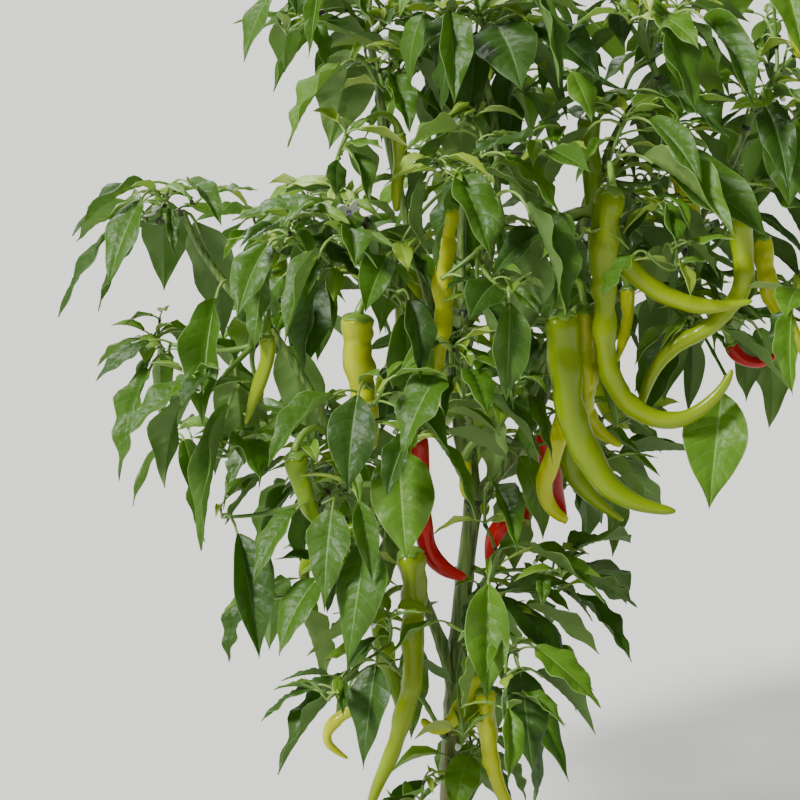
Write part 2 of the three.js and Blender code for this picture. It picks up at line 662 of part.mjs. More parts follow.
// A twig's way is free if its middle part keeps off the limbs, the pods and the twigs that stand already.
function freeWay(line, start, goal) {
  return line.every(({ point }, i) => {
    if (i === 0) return true;
    const before = line[i - 1].point;
    return [0.25, 0.5, 0.75, 1].every((share) => {
      const place = before.clone().lerp(point, share);
      const near = Math.min(place.distanceTo(start), place.distanceTo(goal));
      return near < 8 || (roomAt(woodRoom, place, 2.5) && roomAt(podRoom, place, 2.5));
    });
  });
}

// Grows the twigs of a mass: each goal, nearest first, is reached by a bent twig from the joint that costs
// least, where the cost is the distance and more for turning back. A goal that no joint reaches is dropped.
function growTwigs(mass, goals) {
  const leader = leaderLine(mass);
  const end = leader[1];
  const toward = end.point.clone().sub(leader[0].point).normalize();
  mass.twigs = [{ line: leader }];
  const joints = [{ point: end.point, toward, radius: end.radius, endOf: mass.twigs[0] }];
  fillRoom(woodRoom, leader);
  goals.sort((a, b) => a.point.distanceTo(end.point) - b.point.distanceTo(end.point));
  for (const goal of goals) {
    const costs = joints.map((joint) => {
      const step = goal.point.clone().sub(joint.point);
      const distance = step.length();
      return { joint, cost: distance * (1.5 - (0.5 * step.dot(joint.toward)) / distance) };
    });
    costs.sort((a, b) => a.cost - b.cost);
    const ways = costs.slice(0, 8).map(({ joint }) => ({ joint, line: twigLine(joint, goal.point) }));
    const free = ways.find(({ line }) => freeWay(line, line[0].point, goal.point));
    const way = free ?? (goal.shoot ? null : ways[0]);
    if (!way) continue;
    const { line, joint } = way;
    const twig = { line, shoot: goal.shoot, pod: goal.pod, bare: goal.bare };
    twig.carriesOn = goal.shoot ? joint.endOf : undefined;
    if (twig.carriesOn) joint.endOf = undefined;
    mass.twigs.push(twig);
    for (let i = 1; i < line.length; i++) {
      const ahead = line[i].point.clone().sub(line[i - 1].point).normalize();
      const endOf = goal.shoot && i === line.length - 1 ? twig : undefined;
      joints.push({ point: line[i].point, toward: ahead, radius: line[i].radius, endOf });
    }
    fillRoom(woodRoom, line);
  }
  mass.joints = joints;
}

// Seeded places for the leafy ends of a mass's twigs, apart from each other and clear of limbs and pods.
const shootTips = [];
function chooseShoots(mass, random) {
  const chosen = [];
  for (let tries = 0; chosen.length < mass.shoots && tries < 400; tries++) {
    const direction = new THREE.Vector3(random() * 2 - 1, random() * 2 - 1, random() * 2 - 1);
    if (direction.length() > 1) continue;
    const offset = direction.multiply(vector(mass.reach)).multiplyScalar(SHOOT_REACH);
    const point = vector(mass.centre).add(offset);
    if (nearestMass(point) !== mass || inClearing(point) || point.z < 3 * GROUND_CLEARANCE) continue;
    if (!roomAt(podRoom, point, 8) || !roomAt(woodRoom, point, 12)) continue;
    if (shootTips.some((tip) => tip.distanceTo(point) < SHOOT_SPACING)) continue;
    shootTips.push(point);
    chosen.push({ point, shoot: true });
  }
  return chosen;
}

// A leaf: a petiole that rises from the twig and arches over, and a blade that droops on from there.
function leafOn(root, heading, length, random, lift) {
  const petiole = length * LEAF.petiole;
  const rise = between(random, [28, 62]) * RADIANS;
  const dip = (between(random, [-60, 2]) + lift) * RADIANS;
  const droop = dip - between(random, [12, 40]) * RADIANS;
  const width = length * between(random, LEAF.slender);
  const roll = between(random, [-28, 28]) * RADIANS;
  return { root, heading, length, petiole, rise, dip, droop, width, roll };
}

// The place on a leaf's midrib at a distance from its root, and the directions along, across and out of it.
function leafFrame(leaf, distance) {
  const out = outAt(leaf.heading);
  const onPetiole = Math.min(distance, leaf.petiole);
  const onBlade = Math.max(0, distance - leaf.petiole);
  const [a, b] = arc(leaf.rise, leaf.dip, leaf.petiole, onPetiole);
  const [c, d] = arc(leaf.dip, leaf.droop, leaf.length, onBlade);
  const point = leaf.root.clone().addScaledVector(out, a + c);
  point.z += b + d;
  const elevation = onBlade
    ? leaf.dip + ((leaf.droop - leaf.dip) * onBlade) / leaf.length
    : leaf.rise + ((leaf.dip - leaf.rise) * onPetiole) / leaf.petiole;
  const along = out.clone().multiplyScalar(Math.cos(elevation));
  along.z = Math.sin(elevation);
  const flat = new THREE.Vector3(-Math.sin(leaf.heading), Math.cos(leaf.heading), 0);
  const normal = along.clone().cross(flat);
  const across = flat.multiplyScalar(Math.cos(leaf.roll)).addScaledVector(normal, Math.sin(leaf.roll));
  return { point, across, normal: along.cross(across) };
}

// Points all over the blade that stand for it when room is looked for, with a sphere round them.
function leafPoints(leaf) {
  const points = [];
  for (const { share, half } of BLADE_POINTS) {
    const { point, across } = leafFrame(leaf, leaf.petiole + share * leaf.length);
    for (let k = -half; k <= half; k++) {
      points.push(point.clone().addScaledVector(across, k * leaf.width * 0.2));
    }
  }
  const centre = leafFrame(leaf, leaf.petiole + 0.5 * leaf.length).point;
  return { points, centre, radius: leaf.length * 0.55 };
}

// A leaf fits if its blade lies in its mass's space, and clear of the ground, the clearings, wood, pods and
// the leaves that stand already.
function leafFits(mass, blade) {
  const { points, centre, radius } = blade;
  const depth = depthIn(mass, centre);
  if (depth > 1 || depthIn(mass, points[points.length - 1]) > LEAF.reach) return false;
  if (MASSES.some((other) => depthIn(other, centre) < depth - LEAF.stray)) return false;
  if (points.some((p) => p.z < GROUND_CLEARANCE || inClearing(p))) return false;
  if (points.some((p) => !roomAt(woodRoom, p, LEAF.offWood))) return false;
  if (points.some((p) => !roomAt(podRoom, p, LEAF.offPods))) return false;
  return leafRoom.every((taken) => {
    if (taken.centre.distanceTo(centre) > taken.radius + radius + LEAF.apart) return true;
    return points.every((p) => taken.points.every((q) => q.distanceTo(p) > LEAF.apart));
  });
}

// One leaf at a joint: it tries one heading after another until it has room, and is skipped if none has.
function tryLeaf(mass, root, turn, length, random, lift) {
  for (let attempt = 0; attempt < LEAF.tries; attempt++) {
    const heading = turn + attempt * GOLDEN_ANGLE;
    const leaf = leafOn(root, heading, length * (1 - 0.02 * attempt), random, lift - attempt * 3);
    const blade = leafPoints(leaf);
    if (!leafFits(mass, blade)) continue;
    leafRoom.push(blade);
    mass.leaves.push(leaf);
    return;
  }
}

// A placed leaf: the chord from its base to its tip gives the heading, the length and the mean slope, and
// its root is where a petiole that ends at the base must start.
function placedLeaf({ base, tip, slender, bend, roll }) {
  const chord = vector(tip).sub(vector(base));
  const half = (bend * RADIANS) / 2;
  const length = (chord.length() * half) / Math.sin(half);
  const heading = Math.atan2(chord.y, chord.x);
  const slope = Math.asin(chord.z / chord.length());
  const [dip, droop] = [slope + half, slope - half];
  const rise = Math.max(LEAF.placedRise * RADIANS, dip + 0.15);
  const petiole = length * LEAF.petiole;
  const [along, up] = arc(rise, dip, petiole, petiole);
  const root = vector(base).addScaledVector(outAt(heading), -along);
  root.z -= up;
  const width = length * slender;
  return { root, heading, length, petiole, rise, dip, droop, width, roll: roll * RADIANS };
}

// Leaves stand singly at the joints of a twig, and in a whorl with young leaves in its middle at a shoot.
function growLeaves(mass, random) {
  for (const { line, shoot, bare } of mass.twigs) {
    if (bare) continue;
    let turn = random() * 2 * Math.PI;
    for (let i = line.length - 1; i >= 1; i--) {
      const back = line[i - 1].point.clone().sub(line[i].point).normalize();
      const last = i === line.length - 1;
      const count = last && shoot ? 6 : 2;
      for (let k = 0; k < count; k++) {
        turn += GOLDEN_ANGLE;
        const root = line[i].point.clone().addScaledVector(back, LEAF.spread * (k + 0.7));
        const grown = between(random, LEAF.length);
        const length = last && shoot ? grown * (1 - 0.11 * k) : grown;
        tryLeaf(mass, root, turn, length, random, last && shoot ? 7 * k : 0);
      }
    }
  }
}

// Pods that grow by rule hang from joints on the far side of their mass, where there is room for them.
function growBackPods(mass, random) {
  let wanted = BACK_PODS[mass.name] || 0;
  for (let tries = 0; wanted > 0 && tries < 80; tries++) {
    const joint = mass.joints[Math.floor(random() * mass.joints.length)];
    const heading = random() * 2 * Math.PI;
    const [rise, fall] = [PEDICEL.rise * RADIANS, PEDICEL.fall * RADIANS];
    const [along, up] = arc(rise, fall, PEDICEL.length, PEDICEL.length);
    const shoulder = joint.point.clone().addScaledVector(outAt(heading), along);
    shoulder.z += up;
    const pod = {
      mass: mass.name,
      shoulder: shoulder.toArray(),
      reachedFrom: joint.point,
      length: between(random, [90, 170]),
      girth: between(random, [8, 12]),
      heading: (heading + between(random, [-1, 1])) / RADIANS,
      falls: [-88, -84, -78, between(random, [-60, 30])],
      shape: "full",
      ripe: "lime",
    };
    const line = podLine(pod, POD_STEPS);
    const clear = line.every((p) => roomAt(woodRoom, p, 12) && roomAt(podRoom, p, 16) && p.z > 30);
    if (!clear || shoulder.y < mass.centre[1]) continue;
    addPod(mass, pod);
    mass.twigs.push({ line: [joint], pod });
    wanted--;
  }
}

// Gives a pod its line and its pedicel, and takes up their room.
function addPod(mass, pod) {
  const points = podLine(pod, POD_STEPS);
  pod.line = points.map((point, i) => ({ point, radius: podRadius(pod, i / POD_STEPS) }));
  pod.stalk = pedicelLine(pod);
  mass.pods.push(pod);
  fillRoom(podRoom, pod.line, 7);
  fillRoom(podRoom, pod.stalk, 7);
}

// Growth, in order: the pods that are placed, the twigs, the pods by rule, and then the leaves that keep
// clear of them all.
for (const limb of LIMBS) fillRoom(woodRoom, limbLines[limb.name]);
for (const mass of MASSES) {
  mass.pods = [];
  const base = limbStart(mass);
  for (const pod of PODS.filter((p) => p.mass === mass.name)) addPod(mass, { ...pod, reachedFrom: base });
}
for (const mass of MASSES) mass.leaves = [];
for (const placed of LEAVES) {
  const leaf = placedLeaf(placed);
  nearestMass(leaf.root).leaves.push(leaf);
  leafRoom.push(leafPoints(leaf));
}
for (const mass of MASSES) {
  mass.random = seededRandom(mass.seed);
  const podSpurs = mass.pods.map((pod) => ({ point: pod.stalk[0].point, shoot: false, pod }));
  const leafSpurs = mass.leaves.map((leaf) => ({ point: leaf.root, shoot: false, bare: true }));
  const spurs = [...podSpurs, ...leafSpurs];
  growTwigs(mass, [...spurs, ...chooseShoots(mass, mass.random)]);
  growBackPods(mass, mass.random);
}
for (const mass of MASSES) growLeaves(mass, mass.random);

// The blade and petiole of a leaf as one solid: a keeled three-sided section that widens and runs to a
// point.
function leafSolid(leaf, grow) {
  const section = (distance, halfWidth, depth) => {
    const { point, across, normal } = leafFrame(leaf, distance);
    const top = point.clone().addScaledVector(normal, grow);
    const edge = (side) => top.clone().addScaledVector(across, side * (halfWidth + 2 * grow));
    return [edge(1), edge(-1), point.clone().addScaledVector(normal, -depth - 2 * grow)];
  };
  const keel = leaf.length * LEAF.keel;
  return loftSolid([
    section(0, 0.5, 0.6),
    section(leaf.petiole, 1.6, 1.6),
    section(leaf.petiole + 0.36 * leaf.length, leaf.width / 2, keel),
    [leafFrame(leaf, leaf.petiole + leaf.length + 3 * grow).point],
  ]);
}

// The line of a twig together with the twigs that it carries on from.
function wholeLine(twig) {
  return twig.carriesOn ? [...wholeLine(twig.carriesOn), ...twig.line.slice(1)] : twig.line;
}

// A line made stouter, since a three-sided twig is slim across its flats, with a slimmer root inside its
// parent.
const sunkLine = (line, stout) =>
  line.map(({ point, radius }, i) => ({ point, radius: radius * stout * (i === 0 ? TWIG.root : 1) }));

// A pod as one solid with its pedicel and the spur of twig that carries it.
function podSolid(pod, spur) {
  const stalk = [0, 2, 3].map((i) => pod.stalk[i]);
  const line = [...sunkLine(spur.slice(0, -1), 1), ...stalk, ...pod.line.slice(0, -1)];
  const sides = pod.girth > 9 ? POD_SIDES : POD_SIDES - 1;
  return loftSolid([...ringsAlong(line, sides), [pod.line[POD_STEPS].point]]);
}

// Limbs, each cut clear of its parent and of the limbs that leave the same joint before it
const solids = new Map();
const clearOf = new Map();
for (const limb of LIMBS) {
  const line = withKnuckle(limbLines[limb.name]);
  const shaped = limb.from ? line : withFlare(line);
  const sides = limb.from ? LIMB_SIDES : STEM_SIDES;
  const rings = ringsAlong(shaped, sides);
  if (!limb.from) rings[0].forEach((corner) => corner.setZ(0));
  let solid = loftSolid(rings);
  if (!limb.from) {
    solids.set(limb.name, solid);
    clearOf.set(limb.name, tube(shaped, sides, GAP * 1.3));
    continue;
  }
  for (const wide of clearOf.values()) solid = solid.subtract(wide);
  solids.set(limb.name, largest(solid));
  clearOf.set(limb.name, tube(shaped, sides, GAP * 1.3));
}

function largest(solid) {
  return solid.decompose().reduce((a, b) => (b.volume() > a.volume() ? b : a));
}

// The outer skin of a solid, without the small hollows that crossing leaves enclose; nothing if it is in
// more than one piece.
function wholeOf(solid) {
  const pieces = solid.decompose().filter((piece) => piece.volume() > 0);
  return pieces.length === 1 ? pieces[0] : null;
}

// The leader of a mass starts where it is just clear of the limb that carries it.
function clearLeader(mass) {
  const [start, end] = mass.twigs[0].line;
  const onLimb = clearOf.get(mass.from);
  for (let share = 0; share < 0.9; share += 0.02) {
    const point = start.point.clone().lerp(end.point, share);
    mass.twigs[0].line[0] = { point, radius: start.radius };
    if (!touches(onLimb, tube(mass.twigs[0].line, TWIG.sides))) return;
  }
}

// Masses: twigs and pods first, then leaves one by one, each only where it touches nothing outside its
// mass.
for (const mass of MASSES) {
  let solid = null;
  clearLeader(mass);
  for (const twig of mass.twigs) {
    if (mass.twigs.some((next) => next.carriesOn === twig)) continue;
    const stout = sunkLine(wholeLine(twig), TWIG.stout);
    const shape = twig.pod ? podSolid(twig.pod, twig.line) : tube(stout, TWIG.sides);
    solid = solid ? solid.add(shape) : shape;
  }
  for (const wide of clearOf.values()) if (touches(wide, solid)) solid = solid.subtract(wide);
  for (const other of solids.values()) if (touches(other, solid)) solid = solid.subtract(other);
  solids.set(mass.name, largest(solid));
}

function touches(a, b) {
  const [p, q] = [a.boundingBox(), b.boundingBox()];
  const apart = [0, 1, 2].some((k) => p.min[k] > q.max[k] || q.min[k] > p.max[k]);
  return !apart && a.intersect(b).volume() > 0;
}

for (const mass of MASSES) {
  let solid = solids.get(mass.name);
  for (const leaf of mass.leaves.filter(({ length }) => length > LEAF.solid)) {
    const blade = leafSolid(leaf, 0);
    const wide = leafSolid(leaf, GAP);
    const meets = [...solids].some(([name, other]) => name !== mass.name && touches(other, wide));
    if (meets) continue;
    const joined = wholeOf(solid.add(blade));
    if (!joined || joined.numTri() - solid.numTri() > LEAF.facets) continue;
    if (GRAINS.every((grain) => staysClosed(joined, grain))) solid = joined;
  }
  solids.set(mass.name, solid);
}

// Whether a solid's skin is still closed when corners closer than a grain fall together.
function staysClosed(solid, grain) {
  const { vertProperties, triVerts } = solid.getMesh();
  const places = new Map();
  const ids = [];
  for (let i = 0; i < vertProperties.length; i += 3) {
    const key = [0, 1, 2].map((k) => Math.trunc(vertProperties[i + k] / grain + 0.5)).join();
    if (!places.has(key)) places.set(key, places.size);
    ids.push(places.get(key));
  }
  const edges = new Set();
  for (let i = 0; i < triVerts.length; i += 3) {
    const corners = [0, 1, 2].map((k) => ids[triVerts[i + k]]);
    if (new Set(corners).size < 3) continue;
    for (let k = 0; k < 3; k++) {
      const edge = corners[k] * places.size + corners[(k + 1) % 3];
      if (edges.has(edge)) return false;
      edges.add(edge);
    }
  }
  const turned = (edge) => (edge % places.size) * places.size + Math.floor(edge / places.size);
  return [...edges].every((edge) => edges.has(turned(edge)));
}

// Each solid becomes a named mesh
const materials = {
  wood: new THREE.MeshStandardMaterial({ color: STEM_GREEN, roughness: 0.6, metalness: 0 }),
  foliage: new THREE.MeshStandardMaterial({ color: GREEN, roughness: 0.5, metalness: 0 }),
};
const plant = new THREE.Group();
plant.name = "chilli_pepper_plant";
for (const [name, solid] of solids) {
  const made = solid.getMesh();
  const geometry = new THREE.BufferGeometry();
  geometry.setAttribute("position", new THREE.BufferAttribute(made.vertProperties, 3));
  geometry.setIndex(new THREE.BufferAttribute(made.triVerts, 1));
  const material = name.startsWith("foliage") ? materials.foliage : materials.wood;
  const mesh = new THREE.Mesh(mergeVertices(geometry, GRAINS[0]), material);
  mesh.name = name;
  plant.add(mesh);
}

export default plant;
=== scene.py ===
import math

import bpy
import numpy as np
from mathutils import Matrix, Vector


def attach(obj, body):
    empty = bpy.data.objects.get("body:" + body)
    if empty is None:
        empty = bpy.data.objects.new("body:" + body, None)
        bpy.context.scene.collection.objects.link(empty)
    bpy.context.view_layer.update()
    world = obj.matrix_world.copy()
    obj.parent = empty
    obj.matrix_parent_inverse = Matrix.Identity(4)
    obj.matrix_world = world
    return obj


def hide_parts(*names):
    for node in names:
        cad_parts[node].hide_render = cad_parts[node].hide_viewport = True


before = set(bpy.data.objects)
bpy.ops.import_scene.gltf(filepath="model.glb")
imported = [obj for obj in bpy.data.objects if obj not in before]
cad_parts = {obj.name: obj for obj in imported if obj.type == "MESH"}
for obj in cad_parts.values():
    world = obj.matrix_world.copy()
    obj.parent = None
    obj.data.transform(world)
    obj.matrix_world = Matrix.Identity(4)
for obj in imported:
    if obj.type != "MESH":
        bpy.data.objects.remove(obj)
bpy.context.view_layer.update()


# The stem and the limbs: firm green stems, a little angular, with swollen joints where they fork. The stem
# stands on its flat cut at the origin, and each limb grows out of its parent at a share of its length.
# Sizes are in millimetres here and in every part of the plant, and a mesh is scaled to metres as it is made.
LIMBS = [
    ("stem", None, 1, (16, 0, 278), (-5, 3, 0), (7.4, 5.6)),
    ("bough_left_lower", "stem", 0.46, (-74, -40, 304), (16, 6, -4), (4.2, 3.3)),
    ("bough_left_middle", "bough_left_lower", 1, (-121, -40, 404), (5, 0, 4), (3.2, 2.7)),
    ("bough_left_end", "bough_left_middle", 1, (-178, -38, 482), (-4, 0, -4), (2.6, 2.2)),
    ("bough_centre", "stem", 1, (5, -8, 394), (-6, 2, 0), (4.8, 4)),
    ("bough_centre_left", "bough_centre", 1, (-57, -55, 478), (-6, -4, -6), (3.4, 2.6)),
    ("bough_centre_front", "bough_centre", 1, (26, -48, 474), (4, -6, -4), (3.4, 2.6)),
    ("bough_upper_left", "bough_centre", 0.72, (-52, 12, 575), (-6, 12, 0), (3.6, 2.6)),
    ("bough_top", "bough_centre_front", 1, (14, -4, 585), (8, 0, 4), (2.6, 2.3)),
    ("bough_right_lower", "stem", 1, (74, -2, 405), (10, 0, -6), (4.8, 4)),
    ("bough_right_middle", "bough_right_lower", 1, (99, -6, 503), (-4, 0, 0), (3.5, 3)),
    ("bough_upper_right", "bough_right_middle", 1, (136, 0, 566), (-4, 0, 4), (2.9, 2.4)),
    ("bough_far_right", "bough_right_lower", 1, (160, 2, 462), (6, 4, -8), (3.4, 2.8)),
    ("bough_far_right_top", "bough_far_right", 1, (196, 6, 532), (4, 0, 2), (2.7, 2.3)),
    ("bough_back", "stem", 1, (10, 70, 396), (0, 8, -6), (4.6, 3.8)),
    ("bough_back_left", "bough_back", 1, (-78, 100, 430), (-4, 4, -8), (3.3, 2.6)),
    ("bough_back_right", "bough_back", 1, (92, 108, 426), (6, 4, -8), (3.3, 2.6)),
    ("bough_back_top", "bough_back", 1, (20, 92, 530), (-6, 6, 0), (3.2, 2.4)),
    ("bough_low_back_left", "stem", 0.56, (-58, 74, 262), (4, -4, -6), (3.8, 2.8)),
    ("bough_low_back_right", "stem", 0.68, (70, 72, 282), (-2, -4, -6), (3.8, 2.8)),
]
LIMB_STEPS = 3
MILLIMETRE = 0.001


def linear(hex_colour):
    """A written sRGB colour as linear light: each channel c is c / 12.92 below 0.04045, and otherwise
    (c + 0.055) / 1.055 to the power 2.4."""
    channels = [int(hex_colour[i : i + 2], 16) / 255 for i in (1, 3, 5)]
    return [c / 12.92 if c <= 0.04045 else ((c + 0.055) / 1.055) ** 2.4 for c in channels] + [1]


def bent_line(start, end, bow, radii, steps):
    """Points of a curve from start to end, whose middle stands off the straight line by the bow: the square
    Bezier curve through a control point at the middle plus twice the bow. Radii run evenly along it."""
    start, end, bow = (np.asarray(p, float) for p in (start, end, bow))
    control = (start + end) * 0.5 + 2 * bow
    share = np.arange(steps + 1)[:, None] / steps
    points = (1 - share) ** 2 * start + 2 * share * (1 - share) * control + share**2 * end
    return points, radii[0] + (radii[1] - radii[0]) * share[:, 0]


def fine_line(start, end, bow, radii, spacing):
    """The same bent line with a point about every spacing of its length."""
    steps = max(3, math.ceil(np.linalg.norm(np.asarray(end, float) - start) / spacing))
    return bent_line(start, end, bow, radii, steps)


limb_lines = {}


def place_on(name, at):
    """The point at a share of a limb's length: it lies on the straight stretch between two of the limb's
    points that the share falls in."""
    points = limb_lines[name][0]
    place = at * (len(points) - 1)
    i = min(int(place), len(points) - 2)
    return points[i] + (points[i + 1] - points[i]) * (place - i)


for name, parent, at, tip, bow, radii in LIMBS:
    start = place_on(parent, at) if parent else np.zeros(3)
    limb_lines[name] = bent_line(start, tip, bow, radii, LIMB_STEPS)


def frames_along(points):
    """Two directions square to a line at each of its points, carried along it without twist: each is the
    one before with its part along the line taken away."""
    along = np.gradient(points, axis=0)
    along /= np.linalg.norm(along, axis=1)[:, None]
    side = np.array([0.0, 1, 0]) if abs(along[0, 0]) > 0.9 else np.array([1.0, 0, 0])
    sides = []
    for direction in along:
        side = side - direction * side.dot(direction)
        side = side / np.linalg.norm(side)
        sides.append(side)
    sides = np.array(sides)
    return along, sides, np.cross(along, sides)


def unit(v):
    """A vector divided by its own length."""
    return v / np.linalg.norm(v)


def run_along(points):
    """How far each point lies along its line: the sum of the stretches before it."""
    return np.concatenate([[0], np.cumsum(np.linalg.norm(np.diff(points, axis=0), axis=1))])


def grid_faces(rows, columns, wrap):
    """Four-sided faces of a grid of points, row by row; with wrap the last column meets the first."""
    across = columns if wrap else columns - 1
    r, c = np.meshgrid(np.arange(rows - 1), np.arange(across), indexing="ij")
    a = (r * columns + c).ravel()
    b = (r * columns + (c + 1) % columns).ravel()
    return np.stack([a, b, b + columns, a + columns], axis=1)


def tube(points, radii, sides):
    """A closed round skin about a line: rings of the given radii, and a point at each end. Radii may be one
    number a ring, or a number for each point of each ring."""
    along, side, up = frames_along(points)
    radii = np.broadcast_to(np.asarray(radii, float).reshape(len(points), -1), (len(points), sides))
    angle = np.arange(sides) * 2 * math.pi / sides
    ring = side[:, None] * np.cos(angle)[None, :, None] + up[:, None] * np.sin(angle)[None, :, None]
    skin = (points[:, None] + ring * radii[:, :, None]).reshape(-1, 3)
    corners = np.vstack([skin, points[0], points[-1]])
    quads = grid_faces(len(points), sides, True)
    turn = (np.arange(sides) + 1) % sides
    last = (len(points) - 1) * sides
    foot = np.stack([turn, np.arange(sides), np.full(sides, len(skin))], axis=1)
    head = np.stack([last + np.arange(sides), last + turn, np.full(sides, len(skin) + 1)], axis=1)
    return corners, quads, np.vstack([foot, head])


def mesh_piece(name, parts, materials):
    """One object from many skins, in metres: the corner numbers of each skin's faces are moved up by the
    number of corners before it. A part is (corners, quads, triangles, quad materials, triangle materials)."""
    counts = np.cumsum([0] + [len(p[0]) for p in parts])
    corners = np.vstack([p[0] for p in parts]) * MILLIMETRE
    quads = np.vstack([p[1] + first for p, first in zip(parts, counts)])
    triangles = np.vstack([p[2] + first for p, first in zip(parts, counts)])
    finish = [np.broadcast_to(np.asarray(p[k + 2], int), len(p[k])) for k in (1, 2) for p in parts]
    mesh = bpy.data.meshes.new(name)
    mesh.vertices.add(len(corners))
    mesh.vertices.foreach_set("co", corners.astype(np.float32).ravel())
    mesh.loops.add(quads.size + triangles.size)
    numbers = np.concatenate([quads.ravel(), triangles.ravel()])
    mesh.loops.foreach_set("vertex_index", numbers.astype(np.int32))
    mesh.polygons.add(len(quads) + len(triangles))
    starts = np.concatenate([np.arange(len(quads)) * 4, quads.size + np.arange(len(triangles)) * 3])
    mesh.polygons.foreach_set("loop_start", starts.astype(np.int32))
    mesh.polygons.foreach_set("material_index", np.concatenate(finish).astype(np.int32))
    mesh.update(calc_edges=True)
    mesh.shade_smooth()
    for material in materials:
        mesh.materials.append(material)
    made = bpy.data.objects.new(name, mesh)
    bpy.context.scene.collection.objects.link(made)
    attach(made, "root")
    return made


def plain(name, colour, roughness, **extra):
    """A material of one even colour; extra sets further sockets of its shader by their names."""
    material = bpy.data.materials.new(name)
    material.use_nodes = True
    shader = material.node_tree.nodes["Principled BSDF"]
    shader.inputs["Base Color"].default_value = linear(colour)
    shader.inputs["Roughness"].default_value = roughness
    for socket, value in extra.items():
        shader.inputs[socket.replace("_", " ")].default_value = value
    return material


def add_node(material, kind, settings, sources):
    """One node with its settings and its links. A setting is a socket's value, or a property's where the
    node has no socket of that name. Sources are the sockets that feed the node's own."""
    tree = material.node_tree
    node = tree.nodes.new("ShaderNode" + kind)
    for key, value in settings.items():
        if key in node.inputs:
            node.inputs[key].default_value = value
        else:
            setattr(node, key, value)
    for key, source in sources.items():
        tree.links.new(source, node.inputs[key])
    return node


def feed(material, socket, source):
    """Links a socket of the material's main shader."""
    material.node_tree.links.new(source, material.node_tree.nodes["Principled BSDF"].inputs[socket])


# The skin of the stem is green, streaked lengthwise, and turns a corky brown over its lowest 16 cm, as old
# wood does. The streaks are 2 mm wide and 20 times as long, and the light shows them as a slight relief.
STREAKS_PER_METRE, STREAK_STRETCH = 450, 20
CORK_FROM, CORK_FULL = 0.16, 0.02
stem_skin = plain("stem_skin", "#5d7a30", 0.5)
where = add_node(stem_skin, "TexCoord", {}, {}).outputs["Object"]
stretch = add_node(stem_skin, "Mapping", {"Scale": (1, 1, 1 / STREAK_STRETCH)}, {"Vector": where})
streak_look = {"Scale": STREAKS_PER_METRE, "Detail": 3}
streaks = add_node(stem_skin, "TexNoise", streak_look, {"Vector": stretch.outputs["Vector"]}).outputs["Fac"]
tints = add_node(stem_skin, "ValToRGB", {}, {"Fac": streaks})
for element, position, colour in zip(tints.color_ramp.elements, (0.36, 0.66), ("#3d5a22", "#7c9443")):
    element.position = position
    element.color = linear(colour)
height = add_node(stem_skin, "SeparateXYZ", {}, {"Vector": where}).outputs["Z"]
low = add_node(stem_skin, "MapRange", {"From Min": CORK_FROM, "From Max": CORK_FULL}, {"Value": height})
cork_look = {"data_type": "RGBA", "B": linear("#7b6a45")}
cork_links = {"Factor": low.outputs["Result"], "A": tints.outputs["Color"]}
cork = add_node(stem_skin, "Mix", cork_look, cork_links)
relief = add_node(stem_skin, "Bump", {"Strength": 0.35, "Distance": 0.0006}, {"Height": streaks})
feed(stem_skin, "Base Color", cork.outputs["Result"])
feed(stem_skin, "Normal", relief.outputs["Normal"])
joint_skin = plain("joint_skin", "#33331f", 0.5)

STEM_SIDES, LIMB_SIDES, RING_SPACING = 28, 18, 2.5
RIBS, RIB_DEPTH = 5, 0.05
FLARE_HEIGHT, FLARE_ADDS = 24, 5.1  # how high the root flare starts, and what it adds to the radius
NODE_SPACING, NODE_SWELL, NODE_WIDTH = 46, 0.13, 4  # the joints that each limb's old leaves left
END_SWELL, FOOT_SWELL = 0.24, 0.28  # how much a limb swells towards its tip and towards its parent


def ribbed(points, radii, sides, ribs, depth, seed):
    """Radii of a stem's rings with its relief, as shares of the radius: a cosine with a crest at each rib,
    one with 0.4 times its depth and twice its crests and one more, and a two-crested one with 0.35 times its
    depth that comes and goes along the stem."""
    draw = np.random.default_rng(seed)
    angle = np.arange(sides)[None] * 2 * math.pi / sides
    run = run_along(points)[:, None]
    phase = draw.uniform(0, 2 * math.pi, 6)
    relief = depth * np.cos(ribs * angle + phase[0] + run * 0.004)
    relief = relief + 0.4 * depth * np.cos((ribs * 2 + 1) * angle + phase[1] - run * 0.011)
    relief = relief + 0.35 * depth * np.cos(2 * angle + phase[2] + run * 0.09) * np.cos(run * 0.21 + phase[3])
    return radii[:, None] * (1 + relief)


